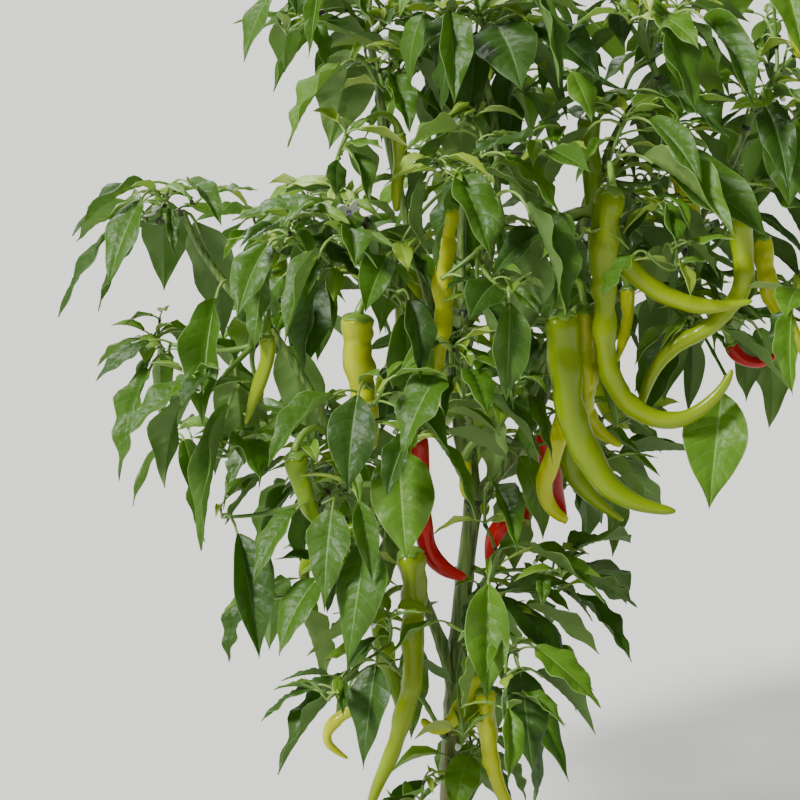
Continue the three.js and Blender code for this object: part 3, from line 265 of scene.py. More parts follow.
wood = []
for order, (name, parent, at, tip, bow, radii) in enumerate(LIMBS):
    start = place_on(parent, at) if parent else np.zeros(3)
    points, widths = fine_line(start, tip, bow, radii, RING_SPACING)
    run = run_along(points)
    left = run[-1] - run
    widths = widths * (1 + END_SWELL * np.exp(-((left / (2.2 * widths[-1])) ** 2)))
    if parent:
        widths = widths * (1 + FOOT_SWELL * np.exp(-((run / (3 * widths[0])) ** 2)))
    else:
        widths = widths + FLARE_ADDS * np.clip(1 - points[:, 2] / FLARE_HEIGHT, 0, 1) ** 2
    for node in np.arange(38 + 9 * (order % 3), run[-1] - 20, NODE_SPACING):
        widths = widths * (1 + NODE_SWELL * np.exp(-(((run - node) / NODE_WIDTH) ** 2)))
    end = points[-1] + unit(points[-1] - points[-2]) * widths[-1] * 0.5
    points, widths = np.vstack([points, end]), np.append(widths, widths[-1] * 0.72)
    sides = LIMB_SIDES if parent else STEM_SIDES
    corners, quads, triangles = tube(points, ribbed(points, widths, sides, RIBS, RIB_DEPTH, order), sides)
    if not parent:
        corners[:sides, 2] = 0
        corners[-2] = 0
        corners[:, 2] = np.maximum(corners[:, 2], 0)
    ragged = np.random.default_rng(order).uniform(0.3, 1.5, (len(left), sides))
    near_joint = left[:, None] < ragged * radii[1]
    wood.append((corners, quads, triangles, near_joint.astype(int).ravel(), 0))
stem_and_boughs = mesh_piece("stem_and_boughs", wood, [stem_skin, joint_skin])
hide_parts(*[limb[0] for limb in LIMBS])


# The plan of the crown: each mass of foliage grows from a limb into its own space, an ellipsoid given by its
# centre and its reach. Pods are placed first, then twigs grow to pods and shoots, and then leaves where they
# have room.

# A mass is (name after "foliage_", limb, share of the limb, centre, reach, shoots, seed).
MASSES = [
    ("left_tip", "bough_left_end", 1, (-192, -38, 476), (74, 70, 90), 1, 11),
    ("left", "bough_left_middle", 1, (-172, -42, 356), (81, 81, 119), 4, 5),
    ("low_left", "bough_left_lower", 1, (-102, -52, 276), (89, 76, 128), 5, 23),
    ("centre_left", "bough_centre_left", 1, (-74, -58, 486), (86, 86, 103), 6, 41),
    ("top_left", "bough_upper_left", 1, (-58, 6, 602), (88, 99, 94), 6, 19),
    ("centre", "bough_centre", 1, (-34, -72, 392), (88, 82, 116), 5, 8),
    ("centre_front", "bough_centre_front", 1, (36, -78, 478), (97, 90, 116), 6, 3),
    ("top", "bough_top", 1, (24, -12, 606), (94, 99, 86), 6, 14),
    ("right", "bough_right_lower", 1, (52, -34, 372), (72, 79, 90), 4, 28),
    ("right_middle", "bough_right_middle", 1, (118, -50, 492), (79, 86, 90), 5, 7),
    ("upper_right", "bough_upper_right", 1, (126, -6, 590), (91, 101, 96), 6, 33),
    ("far_right", "bough_far_right", 1, (196, -14, 424), (79, 94, 123), 6, 52),
    ("far_right_top", "bough_far_right_top", 1, (206, 4, 556), (69, 94, 94), 5, 61),
    ("low_right", "stem", 0.74, (54, -30, 238), (80, 90, 112), 4, 17),
    ("low_front", "stem", 0.55, (26, -56, 180), (78, 81, 112), 4, 72),
    ("low_left_front", "stem", 0.36, (-54, -62, 196), (75, 78, 119), 4, 29),
    ("foot", "stem", 0.27, (-4, -26, 96), (72, 78, 72), 2, 83),
    ("back_left", "bough_back_left", 1, (-92, 112, 436), (86, 84, 100), 7, 91),
    ("back_left_low", "bough_low_back_left", 1, (-90, 96, 288), (84, 82, 80), 5, 37),
    ("back", "bough_back", 1, (6, 148, 440), (76, 78, 97), 6, 46),
    ("back_right", "bough_back_right", 1, (128, 112, 436), (94, 88, 103), 8, 58),
    ("back_right_low", "bough_low_back_right", 1, (92, 92, 300), (80, 80, 78), 5, 64),
    ("back_top", "bough_back_top", 1, (26, 92, 574), (101, 78, 78), 7, 76),
]

# Clear spaces that the crown leaves open: round the hanging pods, beside the bare foot of the stem and at
# the left below the longest limb. Each is an ellipsoid: its centre and its reach.
CLEARINGS = [
    ((112, -120, 372), (62, 62, 82)),
    ((170, -100, 350), (44, 60, 60)),
    ((92, -60, 300), (46, 40, 40)),
    ((-36, -70, 300), (22, 34, 34)),
    ((-20, -110, 150), (34, 60, 60)),
    ((10, -60, 240), (20, 40, 44)),
    ((-128, -50, 540), (52, 90, 44)),
    ((-37, -84, 496), (15, 44, 46)),
    ((-64, -108, 388), (20, 36, 34)),
    ((-16, -78, 292), (26, 34, 48)),
    ((-68, -80, 126), (30, 46, 28)),
    ((30, -86, 114), (20, 48, 42)),
    ((-258, -50, 330), (36, 60, 62)),
    ((-226, -50, 240), (66, 60, 62)),
    ((104, -116, 490), (18, 40, 32)),
    ((40, -60, 262), (20, 44, 26)),
    ((-98, -102, 316), (15, 34, 32)),
]

# Leaves that are placed singly: (where the blade starts, where its tip hangs, width as a share of the length,
# how far the blade turns down, how far it rolls about its midrib).
LEAVES = [
    ((-201, -42, 502), (-247, -66, 470), 0.46, 36, 12),
    ((-204, -46, 492), (-223, -76, 438), 0.48, 22, 10),
    ((-222, -36, 474), (-258, -58, 415), 0.4, 20, 14),
    ((-174, -46, 504), (-151, -74, 478), 0.5, 40, -10),
    ((-161, -34, 493), (-128, -40, 497), 0.36, 30, 0),
    ((-186, -44, 486), (-180, -62, 457), 0.46, 14, 0),
    ((-155, -62, 430), (-165, -92, 351), 0.5, 20, 8),
    ((-200, -46, 398), (-235, -64, 374), 0.44, 34, 0),
    ((-200, -52, 381), (-217, -80, 310), 0.42, 26, 10),
    ((-148, -58, 359), (-165, -78, 262), 0.34, 16, 14),
    ((-134, -36, 470), (-149, -62, 453), 0.44, 30, 0),
    ((-142, -74, 275), (-128, -104, 196), 0.52, 18, -8),
    ((-103, -82, 293), (-132, -108, 249), 0.44, 24, 6),
    ((-79, -88, 296), (-86, -112, 231), 0.44, 18, 0),
    ((-57, -92, 274), (-66, -116, 191), 0.44, 20, 10),
    ((-78, -84, 370), (-121, -114, 328), 0.46, 32, 8),
    ((-62, -94, 372), (-70, -122, 314), 0.54, 22, 0),
    ((-36, -92, 337), (-33, -118, 268), 0.62, 14, -6),
    ((-43, -94, 367), (-5, -130, 342), 0.6, 36, -10),
    ((23, -86, 244), (21, -112, 168), 0.5, 20, 0),
    ((44, -84, 185), (51, -106, 120), 0.5, 18, 0),
    ((-51, -96, 191), (-59, -116, 124), 0.46, 14, 6),
    ((49, -62, 261), (101, -88, 230), 0.58, 28, -14),
    ((59, -52, 188), (95, -72, 165), 0.5, 28, -10),
    ((-14, -80, 215), (-43, -98, 197), 0.4, 26, 0),
    ((44, -108, 498), (71, -138, 430), 0.6, 20, -12),
    ((12, -96, 441), (37, -116, 365), 0.4, 18, -10),
    ((-29, -104, 436), (-20, -128, 389), 0.56, 20, -4),
    ((-89, -76, 486), (-50, -106, 455), 0.56, 34, -8),
    ((31, -96, 527), (65, -126, 492), 0.5, 38, -8),
    ((-2, -100, 512), (-11, -112, 454), 0.3, 16, 20),
    ((21, -88, 369), (56, -118, 335), 0.64, 30, -12),
    ((-73, -56, 580), (-108, -88, 530), 0.54, 28, 10),
    ((-102, -66, 473), (-91, -88, 457), 0.56, 24, 0),
    ((-118, -34, 625), (-137, -52, 581), 0.5, 24, 8),
    ((-88, -30, 627), (-92, -46, 583), 0.36, 14, 6),
    ((131, -66, 608), (150, -96, 551), 0.54, 22, -8),
    ((74, -74, 577), (87, -98, 547), 0.52, 24, 0),
    ((176, -62, 367), (168, -92, 294), 0.56, 18, 0),
    ((112, -112, 466), (91, -134, 439), 0.6, 24, 10),
    ((98, -40, 336), (124, -56, 322), 0.4, 24, 0),
]
# Outlines of pods: the radius at even steps from the shoulder to the tip, as shares of the widest.
POD_SHAPES = {
    "full": (1, 1, 0.97, 0.9, 0.6, 0.2),
    "stout": (1, 0.97, 0.93, 0.88, 0.76, 0.4),
    "slim": (1, 0.84, 0.72, 0.69, 0.5, 0.2),
    "waisted": (1, 0.64, 0.6, 0.76, 0.8, 0.3),
}
# A pod is (mass, shoulder, length, widest radius, outline, heading, elevations at even steps, ripeness).
PODS = [
    ("right", (68, -88, 426), 171, 11, "full", -5, (-92, -80, -77, -66, -24, -4), "lime"),
    ("right", (84, -68, 425), 105, 8.2, "full", -2, (-86, -88, -92, -90, -40, -30), "yellow"),
    ("right", (77, -57, 371), 102, 6.8, "stout", 4, (-98, -104, -109, -106, -66, -22), "yellow"),
    ("right", (84, -42, 355), 98, 6.8, "full", 3, (-106, -104, -84, -50, -38, -34), "lime"),
    ("right_middle", (100, -80, 504), 230, 11, "slim", -3, (-100, -92, -86, -60, 20, 72), "lime"),
    ("right_middle", (108, -62, 457), 97, 6.6, "full", -8, (-54, -42, -24, -12, 8, 14), "lime"),
    ("far_right", (185, -56, 485), 165, 8.8, "slim", 2, (-84, -84, -130, -152, -118, -94), "lime"),
    ("far_right", (202, -36, 467), 95, 7.0, "full", 0, (-80, -78, -72, -62, -58, -55), "yellow"),
    ("right", (117, -22, 430), 53, 4.6, "full", 4, (-86, -90, -96, -104, -106, -104), "yellow"),
    ("upper_right", (89, -30, 543), 61, 7.6, "stout", 10, (-86, -84, -88, -92, -92, -90), "green"),
    ("upper_right", (140, -22, 524), 62, 7.8, "full", 0, (-70, -64, -62, -66, -70, -74), "yellow"),
    ("centre_left", (-36, -36, 534), 52, 4.8, "stout", 0, (-90, -90, -91, -92, -92, -92), "lime"),
    ("centre", (-62, -66, 419), 92, 10.6, "stout", 0, (-97, -92, -80, -76, -86, -98), "yellow"),
    ("centre", (-5, -58, 491), 135, 7.4, "stout", 0, (-90, -91, -93, -98, -92, 20), "yellow"),
    ("left", (-121, -82, 408), 61, 5.0, "full", 2, (-88, -92, -104, -110, -112, -114), "lime"),
    ("low_left", (-104, -70, 328), 100, 8.0, "slim", -2, (-80, -79, -70, -22, 34, 80), "green"),
    ("low_left", (-70, -52, 244), 63, 4.6, "full", 0, (120, 155, 200, 255, 320, 360), "lime"),
    ("right", (-26, -42, 334), 115, 8.4, "waisted", 0, (-70, -84, -88, -90, -44, -10), "red"),
    ("low_left", (-30, -66, 262), 197, 10.4, "slim", -3, (-76, -92, -91, -104, -116, -98), "lime"),
    ("low_left_front", (-49, -30, 208), 72, 6.6, "full", 0, (-88, -86, -74, -74, -80, -84), "green"),
    ("low_left_front", (-47, -34, 146), 70, 4.8, "full", 3, (-165, -158, -146, -126, -46, -30), "yellow"),
    ("low_front", (18, -36, 167), 65, 5.6, "stout", 3, (-104, -108, -120, -130, -180, -250), "yellow"),
    ("low_front", (21, -38, 156), 100, 6.8, "full", 0, (-78, -86, -84, -74, -64, -58), "yellow"),
    ("low_right", (64, -6, 330), 69, 7.8, "full", 0, (-84, -82, -80, -76, -74, -74), "red"),
    ("low_right", (54, -12, 273), 56, 6.6, "full", 0, (-172, -160, -136, -108, -94, -90), "red"),
    ("far_right", (186, -20, 391), 40, 4.6, "full", 4, (-66, -44, -24, 0, 30, 40), "red"),
    ("far_right_top", (222, -30, 633), 51, 6.4, "full", 0, (-96, -92, -88, -84, -84, -88), "yellow"),
    ("centre_front", (15, -84, 503), 22, 2.9, "full", 0, (-88, -90, -92, -92, -90, -88), "yellow"),
    ("right", (8, -34, 314), 26, 4.6, "stout", 0, (-86, -84, -84, -88, -90, -92), "yellow"),
]
# Pods that grow by rule where no pod is placed singly: how many on each of the masses at the back.
BACK_PODS = {
    "back_left": 2,
    "back": 2,
    "back_right": 1,
}
POD_STEPS, POD_STRIDES = 5, 8
PEDICEL_LENGTH, PEDICEL_RADIUS = 34, 1.9
PEDICEL_RISE, PEDICEL_FALL = math.radians(40), math.radians(-80)  # its elevations at twig and shoulder
BACK_POD = {"length": (90, 170), "girth": (8, 12), "last fall": (-60, 30), "tries": 80}
BACK_POD_OFF_WOOD, BACK_POD_OFF_PODS, BACK_POD_LOWEST = 12, 16, 30

# Twigs: their radii, the first twig's length, and the distance from joint to joint. A way is free if it
# keeps WAY_CLEAR off what stands there, but for WAY_ENDS at either end.
TWIG_START, TWIG_END, LEADER, INTERNODE = 2.3, 1.2, 15, 30
WAY_CLEAR, WAY_ENDS = 2.5, 8
SHOOT_SPACING, SHOOT_REACH, SHOOT_OFF_PODS, SHOOT_OFF_WOOD, SHOOT_DRAWS = 42, 0.66, 8, 12, 400
GROUND_CLEARANCE = 14

# Leaves: the blade's length, its width and the petiole as shares of it, and the ranges in degrees that its
# angles are drawn from. Then how far leaves stand apart at a joint, how far a blade keeps off other
# things, how far it may stray into a nearer mass and past its own, and how often a leaf is tried.
LEAF_LENGTH, LEAF_SLENDER, PETIOLE = (62, 98), (0.44, 0.56), 0.36
LEAF_RISE, LEAF_DIP, LEAF_DROOP, LEAF_ROLL = (28, 62), (-60, 2), (12, 40), (-28, 28)
SPREAD, APART, OFF_WOOD, OFF_PODS, STRAY, LEAF_REACH, TRIES = 3.2, 6.5, 4.5, 4, 0.25, 1.2, 12
WHORL, PAIR = 6, 2
PLACED_RISE = math.radians(42)
GOLDEN_ANGLE = math.pi * (3 - math.sqrt(5))

mass_centres = np.array([mass[3] for mass in MASSES], float)
mass_reaches = np.array([mass[4] for mass in MASSES], float)
clear_centres = np.array([clearing[0] for clearing in CLEARINGS], float)
clear_reaches = np.array([clearing[1] for clearing in CLEARINGS], float)
room = {"wood": np.empty((0, 4)), "pods": np.empty((0, 4))}
blades_placed, blade_spheres = [], np.empty((0, 4))


def seeded_random(seed):
    """A repeatable draw from 0 to 1: a 32-bit counter whose bits are mixed by shifts and products."""
    state = seed

    def draw():
        nonlocal state
        state = (state + 0x6D2B79F5) & 0xFFFFFFFF
        mixed = ((state ^ (state >> 15)) * (state | 1)) & 0xFFFFFFFF
        mixed ^= (mixed + (((mixed ^ (mixed >> 7)) * (mixed | 61)) & 0xFFFFFFFF)) & 0xFFFFFFFF
        return ((mixed ^ (mixed >> 14)) & 0xFFFFFFFF) / 4294967296

    return draw


def between(draw, limits):
    """A value between two limits: the lower one plus a drawn share of their difference."""
    return limits[0] + (limits[1] - limits[0]) * draw()


def arc(first, last, length, s):
    """How far along and up a path has run at distance s when its elevation turns evenly from first to last
    over its length: (sin now - sin first) / turn and (cos first - cos now) / turn, where now is the first
    elevation plus the turn times s."""
    turn = (last - first) / length
    turn = np.where(np.abs(turn) < 1e-6, 1e-6, turn)
    now = first + turn * s
    return (np.sin(now) - np.sin(first)) / turn, (np.cos(first) - np.cos(now)) / turn


def fill_room(kind, points, radii, spacing=6):
    """Marks the room that a line takes: spheres at even steps on each stretch, as thick as its thicker
    end."""
    marks = []
    for a, b, thick in zip(points, points[1:], np.maximum(radii[:-1], radii[1:])):
        steps = max(1, math.ceil(np.linalg.norm(b - a) / spacing))
        share = np.arange(steps)[:, None] / steps
        marks.append(np.hstack([a + (b - a) * share, np.full((steps, 1), thick)]))
    room[kind] = np.vstack([room[kind], *marks, [[*points[-1], radii[-1]]]])


def has_room(marks, points, clearance):
    """True if no point lies nearer to a mark's centre than its radius plus the clearance."""
    gap = np.sum((points[:, None] - marks[None, :, :3]) ** 2, axis=2)
    return bool((gap > (marks[:, 3] + clearance) ** 2).all())


def depths(centres, reaches, point):
    """How deep a point lies in each ellipsoid, where 0 is the centre and 1 the edge: the length of the way
    from the centre with each axis divided by its reach."""
    return np.linalg.norm((point - centres) / reaches, axis=-1)


def in_clearing(points):
    """True for each point that lies in one of the clear spaces."""
    return (depths(clear_centres, clear_reaches, points[:, None]) < 1).any(axis=1)


def evenly(values, share):
    """The value at a share of the way along values that stand at even steps."""
    return np.interp(share, np.linspace(0, 1, len(values)), values)


def pod_line(pod, steps):
    """Points down a pod, in the plane of its heading: it is walked in short strides, each at the elevation
    that the pod's own ones give for the middle of the stride."""
    _, shoulder, length, _, _, heading, falls, _ = pod
    strides = steps * POD_STRIDES
    elevation = np.radians(evenly(falls, (np.arange(strides) + 0.5) / strides))
    way = np.radians(heading)
    moves = np.stack([np.cos(way) * np.cos(elevation), np.sin(way) * np.cos(elevation), np.sin(elevation)], 1)
    walked = np.cumsum(moves * (length / strides), axis=0)
    return np.vstack([[0, 0, 0], walked[POD_STRIDES - 1 :: POD_STRIDES]]) + np.asarray(shoulder, float)


def pod_radius(pod, share):
    """A pod's radius: the widest times its outline, and over the shoulder times 0.62 plus 6 times the
    share, until that is 1."""
    return pod[3] * np.minimum(0.62 + 6 * share, 1) * evenly(POD_SHAPES[pod[4]], share)


def pedicel_line(shoulder, reached_from, steps):
    """The stalk of a pod: an arc in the upright plane from its twig to the shoulder, that rises at 40
    degrees and ends 80 degrees below level."""
    away = np.asarray(shoulder, float) - reached_from
    away[2] = 0
    away = unit(away)
    run = PEDICEL_LENGTH * np.arange(steps + 1) / steps
    out, up = arc(PEDICEL_RISE, PEDICEL_FALL, PEDICEL_LENGTH, run)
    line = away * out[:, None] + np.array([0, 0, 1]) * up[:, None]
    return line - line[-1] + np.asarray(shoulder, float)


def place_pod(mass, pod, reached_from):
    """Adds a pod to its mass and marks its room and that of its stalk."""
    line = pod_line(pod, POD_STEPS)
    stalk = pedicel_line(pod[1], reached_from, 3)
    mass["pods"].append((pod, stalk, reached_from))
    fill_room("pods", line, pod_radius(pod, np.arange(POD_STEPS + 1) / POD_STEPS), 7)
    fill_room("pods", stalk, PEDICEL_RADIUS * (1 + 0.25 * np.arange(4) / 3), 7)


def leader_line(limb, at, centre):
    """The first twig of a mass: it leaves its limb towards the centre of the mass, and is turned away from
    each limb that goes on from the same joint until the cosine between them is 0.45."""
    base = place_on(limb, at)
    way = unit(np.asarray(centre, float) - base)
    onwards = [name for name, parent, share, *_ in LIMBS if parent == limb and share == at]
    for _ in range(6):
        for name in onwards:
            along = unit(limb_lines[name][0][1] - limb_lines[name][0][0])
            together = way.dot(along)
            if together > 0.45:
                way = unit(way + along * (0.45 - together))
    return bent_line(base, base + way * LEADER, (0, 0, 0), (TWIG_START * 1.15, TWIG_START), 1)


def twig_shape(joint, goal):
    """Ends, bow and radii of a twig from a joint to a goal: it leaves between the joint's own direction and
    the straight way to the goal, and the bow is a quarter of the distance on that side."""
    straight = goal - joint["point"]
    distance = np.linalg.norm(straight)
    leave = straight / distance
    leave = unit(leave + (joint["toward"] - leave) * 0.42)
    bow = leave * (distance * 0.25) - straight * 0.25
    steps = max(1, math.floor(distance / INTERNODE + 0.5))
    return joint["point"], goal, bow, (min(joint["radius"] * 0.9, TWIG_START), TWIG_END), steps


def free_way(points, goal):
    """True if the way keeps off wood and pods, except near where it starts and ends."""
    share = np.array([0.25, 0.5, 0.75, 1])[None, :, None]
    places = (points[:-1, None] + (points[1:] - points[:-1])[:, None] * share).reshape(-1, 3)
    near = np.minimum(np.linalg.norm(places - points[0], axis=1), np.linalg.norm(places - goal, axis=1))
    places = places[near >= WAY_ENDS]
    return not len(places) or all(has_room(marks, places, WAY_CLEAR) for marks in room.values())


def grow_twigs(mass, goals):
    """Twigs of a mass: each goal, nearest first, is reached from the joint that costs least, where the cost
    is the distance times 1.5 less half the cosine of the turn. A shoot that no joint reaches is dropped."""
    points, radii = leader_line(*mass["plan"][1:4])
    mass["twigs"] = [{"points": points, "radii": radii, "shape": (points[0], points[1], (0, 0, 0), radii, 1)}]
    mass["twigs"][0]["kind"] = "leader"
    mass["joints"] = [{"point": points[1], "toward": unit(points[1] - points[0]), "radius": radii[1]}]
    fill_room("wood", points, radii)
    end = points[1]
    for goal, kind in sorted(goals, key=lambda g: np.linalg.norm(g[0] - end)):
        steps = [goal - joint["point"] for joint in mass["joints"]]
        distances = [np.linalg.norm(step) for step in steps]
        turns = [step.dot(joint["toward"]) / d for step, joint, d in zip(steps, mass["joints"], distances)]
        costs = [d * (1.5 - 0.5 * turn) for d, turn in zip(distances, turns)]
        cheapest = sorted(range(len(costs)), key=costs.__getitem__)[:8]
        shapes = [twig_shape(mass["joints"][k], goal) for k in cheapest]
        lines = [bent_line(*shape) for shape in shapes]
        free = [k for k, (line, _) in enumerate(lines) if free_way(line, goal)]
        if kind == "shoot" and not free:
            continue
        way = free[0] if free else 0
        points, radii = lines[way]
        mass["twigs"].append({"points": points, "radii": radii, "shape": shapes[way], "kind": kind})
        for before, point, radius in zip(points, points[1:], radii[1:]):
            mass["joints"].append({"point": point, "toward": unit(point - before), "radius": radius})
        fill_room("wood", points, radii)


def choose_shoots(mass, draw):
    """Places for the leafy ends of twigs: drawn points of the mass's space that are nearest to this mass,
    clear of wood and pods, and apart from each other."""
    name, _, _, centre, reach, shoots, _ = mass["plan"]
    chosen = []
    for _ in range(SHOOT_DRAWS):
        if len(chosen) == shoots:
            break
        direction = np.array([draw() * 2 - 1 for _ in range(3)])
        if np.linalg.norm(direction) > 1:
            continue
        point = np.asarray(centre, float) + direction * SHOOT_REACH * np.asarray(reach, float)
        nearest = MASSES[int(np.argmin(depths(mass_centres, mass_reaches, point)))][0]
        if nearest != name or in_clearing(point[None])[0] or point[2] < 3 * GROUND_CLEARANCE:
            continue
        if not has_room(room["pods"], point[None], SHOOT_OFF_PODS):
            continue
        if not has_room(room["wood"], point[None], SHOOT_OFF_WOOD):
            continue
        if any(np.linalg.norm(tip - point) < SHOOT_SPACING for tip in shoot_tips):
            continue
        shoot_tips.append(point)
        chosen.append((point, "shoot"))
    return chosen


def grow_back_pods(mass, draw):
    """Pods that grow by rule: each hangs from a drawn joint of its mass by its stalk, if it lies on the far
    side of the mass and its line keeps off wood, other pods and the ground."""
    wanted = BACK_PODS.get(mass["plan"][0], 0)
    for _ in range(BACK_POD["tries"]):
        if not wanted:
            break
        joint = mass["joints"][math.floor(draw() * len(mass["joints"]))]
        heading = draw() * 2 * math.pi
        along, up = arc(PEDICEL_RISE, PEDICEL_FALL, PEDICEL_LENGTH, PEDICEL_LENGTH)
        shoulder = joint["point"] + np.array([math.cos(heading) * along, math.sin(heading) * along, up])
        length, girth = between(draw, BACK_POD["length"]), between(draw, BACK_POD["girth"])
        facing = math.degrees(heading + between(draw, (-1, 1)))
        falls = (-88, -84, -78, between(draw, BACK_POD["last fall"]))
        pod = (mass["plan"][0], shoulder, length, girth, "full", facing, falls, "lime")
        line = pod_line(pod, POD_STEPS)
        if line[:, 2].min() <= BACK_POD_LOWEST or shoulder[1] < mass["plan"][3][1]:
            continue
        off_wood = has_room(room["wood"], line, BACK_POD_OFF_WOOD)
        if off_wood and has_room(room["pods"], line, BACK_POD_OFF_PODS):
            place_pod(mass, pod, joint["point"])
            mass["twigs"].append({"points": joint["point"][None], "kind": "pod"})
            wanted -= 1


def leaf_frame(leaf, distance):
    """The place on a leaf's midrib at a distance from its root, and the directions along, across and out of
    it. The petiole rises and arches over on one arc, and the blade droops on along a second one; the blade
    rolls about its midrib. A leaf is (root, heading, length, petiole, rise, dip, droop, width, roll)."""
    heading, length, petiole, rise, dip, droop, _, roll = (leaf[..., k] for k in range(3, 11))
    on_petiole = np.minimum(distance, petiole)
    on_blade = np.maximum(distance - petiole, 0)
    a, b = arc(rise, dip, petiole, on_petiole)
    c, d = arc(dip, droop, length, on_blade)
    cos_h, sin_h = np.cos(heading), np.sin(heading)
    point = leaf[..., :3] + np.stack(np.broadcast_arrays(cos_h * (a + c), sin_h * (a + c), b + d), axis=-1)
    on_stalk = rise + (dip - rise) * on_petiole / petiole
    slope = np.where(on_blade > 0, dip + (droop - dip) * on_blade / length, on_stalk)
    level = np.cos(slope)
    along = np.stack(np.broadcast_arrays(cos_h * level, sin_h * level, np.sin(slope)), axis=-1)
    flat = np.stack(np.broadcast_arrays(-sin_h, cos_h, 0 * slope), axis=-1)
    up = np.cross(along, flat)
    across = flat * np.cos(roll)[..., None] + up * np.sin(roll)[..., None]
    return point, along, across, np.cross(along, across)


# The points that stand for a blade: the shares of its length, and how many on each side of the midrib
BLADE_SHARES = (0.04, 0.15, 0.27, 0.39, 0.51, 0.63, 0.75, 0.87, 0.98)
BLADE_HALVES = (0, 2, 2, 2, 2, 2, 1, 0, 0)
pairs = zip(BLADE_SHARES, BLADE_HALVES)
blade_places = np.array([(share, k) for share, half in pairs for k in range(-half, half + 1)])


def blade_points(leaf):
    """Points all over a blade that stand for it when room is looked for, and the middle and radius of a
    sphere round them."""
    point, _, across, _ = leaf_frame(leaf[None], leaf[5] + blade_places[:, 0] * leaf[4])
    points = point + across * (blade_places[:, 1] * leaf[9] * 0.2)[:, None]
    centre = leaf_frame(leaf[None], leaf[5] + np.array([0.5 * leaf[4]]))[0][0]
    return points, centre, leaf[4] * 0.55


def place_blade(points, centre, radius):
    """Marks the room that a blade takes."""
    global blade_spheres
    blades_placed.append(points)
    blade_spheres = np.vstack([blade_spheres, [[*centre, radius]]])


def leaf_fits(plan, points, centre, radius):
    """True if a blade lies in its mass's space, strays little into a nearer one, and keeps off the ground,
    the clearings, wood, pods and other blades."""
    at_centre = depths(mass_centres, mass_reaches, centre)
    own = at_centre[plan]
    if own > 1 or depths(mass_centres[plan], mass_reaches[plan], points[-1]) > LEAF_REACH:
        return False
    if at_centre.min() < own - STRAY or points[:, 2].min() < GROUND_CLEARANCE or in_clearing(points).any():
        return False
    for kind, clearance in (("wood", OFF_WOOD), ("pods", OFF_PODS)):
        marks = room[kind]
        near = np.sum((marks[:, :3] - centre) ** 2, axis=1) < (radius + clearance + marks[:, 3]) ** 2
        if near.any() and not has_room(marks[near], points, clearance):
            return False
    near = np.linalg.norm(blade_spheres[:, :3] - centre, axis=1) <= blade_spheres[:, 3] + radius + APART
    for k in np.flatnonzero(near):
        if np.sum((points[:, None] - blades_placed[k][None]) ** 2, axis=2).min() <= APART**2:
            return False
    return True


def try_leaf(mass, root, turn, length, draw, lift):
    """One leaf at a joint: it tries headings a golden angle apart, each a little shorter and lower than the
    one before, until it fits."""
    for attempt in range(TRIES):
        size = length * (1 - 0.02 * attempt)
        rise = math.radians(between(draw, LEAF_RISE))
        dip = math.radians(between(draw, LEAF_DIP) + lift - attempt * 3)
        droop = dip - math.radians(between(draw, LEAF_DROOP))
        width = size * between(draw, LEAF_SLENDER)
        roll = math.radians(between(draw, LEAF_ROLL))
        heading = turn + attempt * GOLDEN_ANGLE
        leaf = np.array([*root, heading, size, size * PETIOLE, rise, dip, droop, width, roll])
        blade = blade_points(leaf)
        if leaf_fits(mass["order"], *blade):
            mass["leaves"].append(leaf)
            place_blade(*blade)
            return


def placed_leaf(base, tip, slender, bend, roll):
    """A leaf whose blade starts and ends at given points: its length is the chord times the half bend over
    the sine of the half bend, and its root is where a petiole that ends at the base must start."""
    base = np.asarray(base, float)
    chord = np.asarray(tip, float) - base
    half = math.radians(bend) / 2
    length = np.linalg.norm(chord) * half / math.sin(half)
    heading = math.atan2(chord[1], chord[0])
    slope = math.asin(chord[2] / np.linalg.norm(chord))
    rise = max(PLACED_RISE, slope + half + 0.15)
    out, up = arc(rise, slope + half, length * PETIOLE, length * PETIOLE)
    root = base - np.array([math.cos(heading) * out, math.sin(heading) * out, up])
    bends = (rise, slope + half, slope - half)
    return np.array([*root, heading, length, length * PETIOLE, *bends, length * slender, math.radians(roll)])


def grow_leaves(mass, draw):
    """Leaves stand in twos at the joints of a twig, and in a whorl of six at a shoot, where each is shorter
    and stands more upright than the one before."""
    for twig in mass["twigs"]:
        if twig["kind"] == "leaf":
            continue
        points = twig["points"]
        turn = draw() * 2 * math.pi
        for i in range(len(points) - 1, 0, -1):
            back = unit(points[i - 1] - points[i])
            whorl = i == len(points) - 1 and twig["kind"] == "shoot"
            for k in range(WHORL if whorl else PAIR):
                turn += GOLDEN_ANGLE
                root = points[i] + back * SPREAD * (k + 0.7)
                length = between(draw, LEAF_LENGTH) * (1 - 0.11 * k if whorl else 1)
                try_leaf(mass, root, turn, length, draw, 7 * k if whorl else 0)


shoot_tips = []
masses = [{"plan": plan, "order": k, "pods": [], "leaves": []} for k, plan in enumerate(MASSES)]
for name, *_ in LIMBS:
    fill_room("wood", *limb_lines[name])
for mass in masses:
    for pod in PODS:
        if pod[0] == mass["plan"][0]:
            place_pod(mass, pod, place_on(*mass["plan"][1:3]))
for placed in LEAVES:
    leaf = placed_leaf(*placed)
    masses[int(np.argmin(depths(mass_centres, mass_reaches, leaf[:3])))]["leaves"].append(leaf)
    place_blade(*blade_points(leaf))
for mass in masses:
    mass["draw"] = seeded_random(mass["plan"][6])
    pod_spurs = [(stalk[0], "pod") for _, stalk, _ in mass["pods"]]
    leaf_spurs = [(leaf[:3], "leaf") for leaf in mass["leaves"]]
    grow_twigs(mass, pod_spurs + leaf_spurs + choose_shoots(mass, mass["draw"]))
    grow_back_pods(mass, mass["draw"])
for mass in masses:
    grow_leaves(mass, mass["draw"])


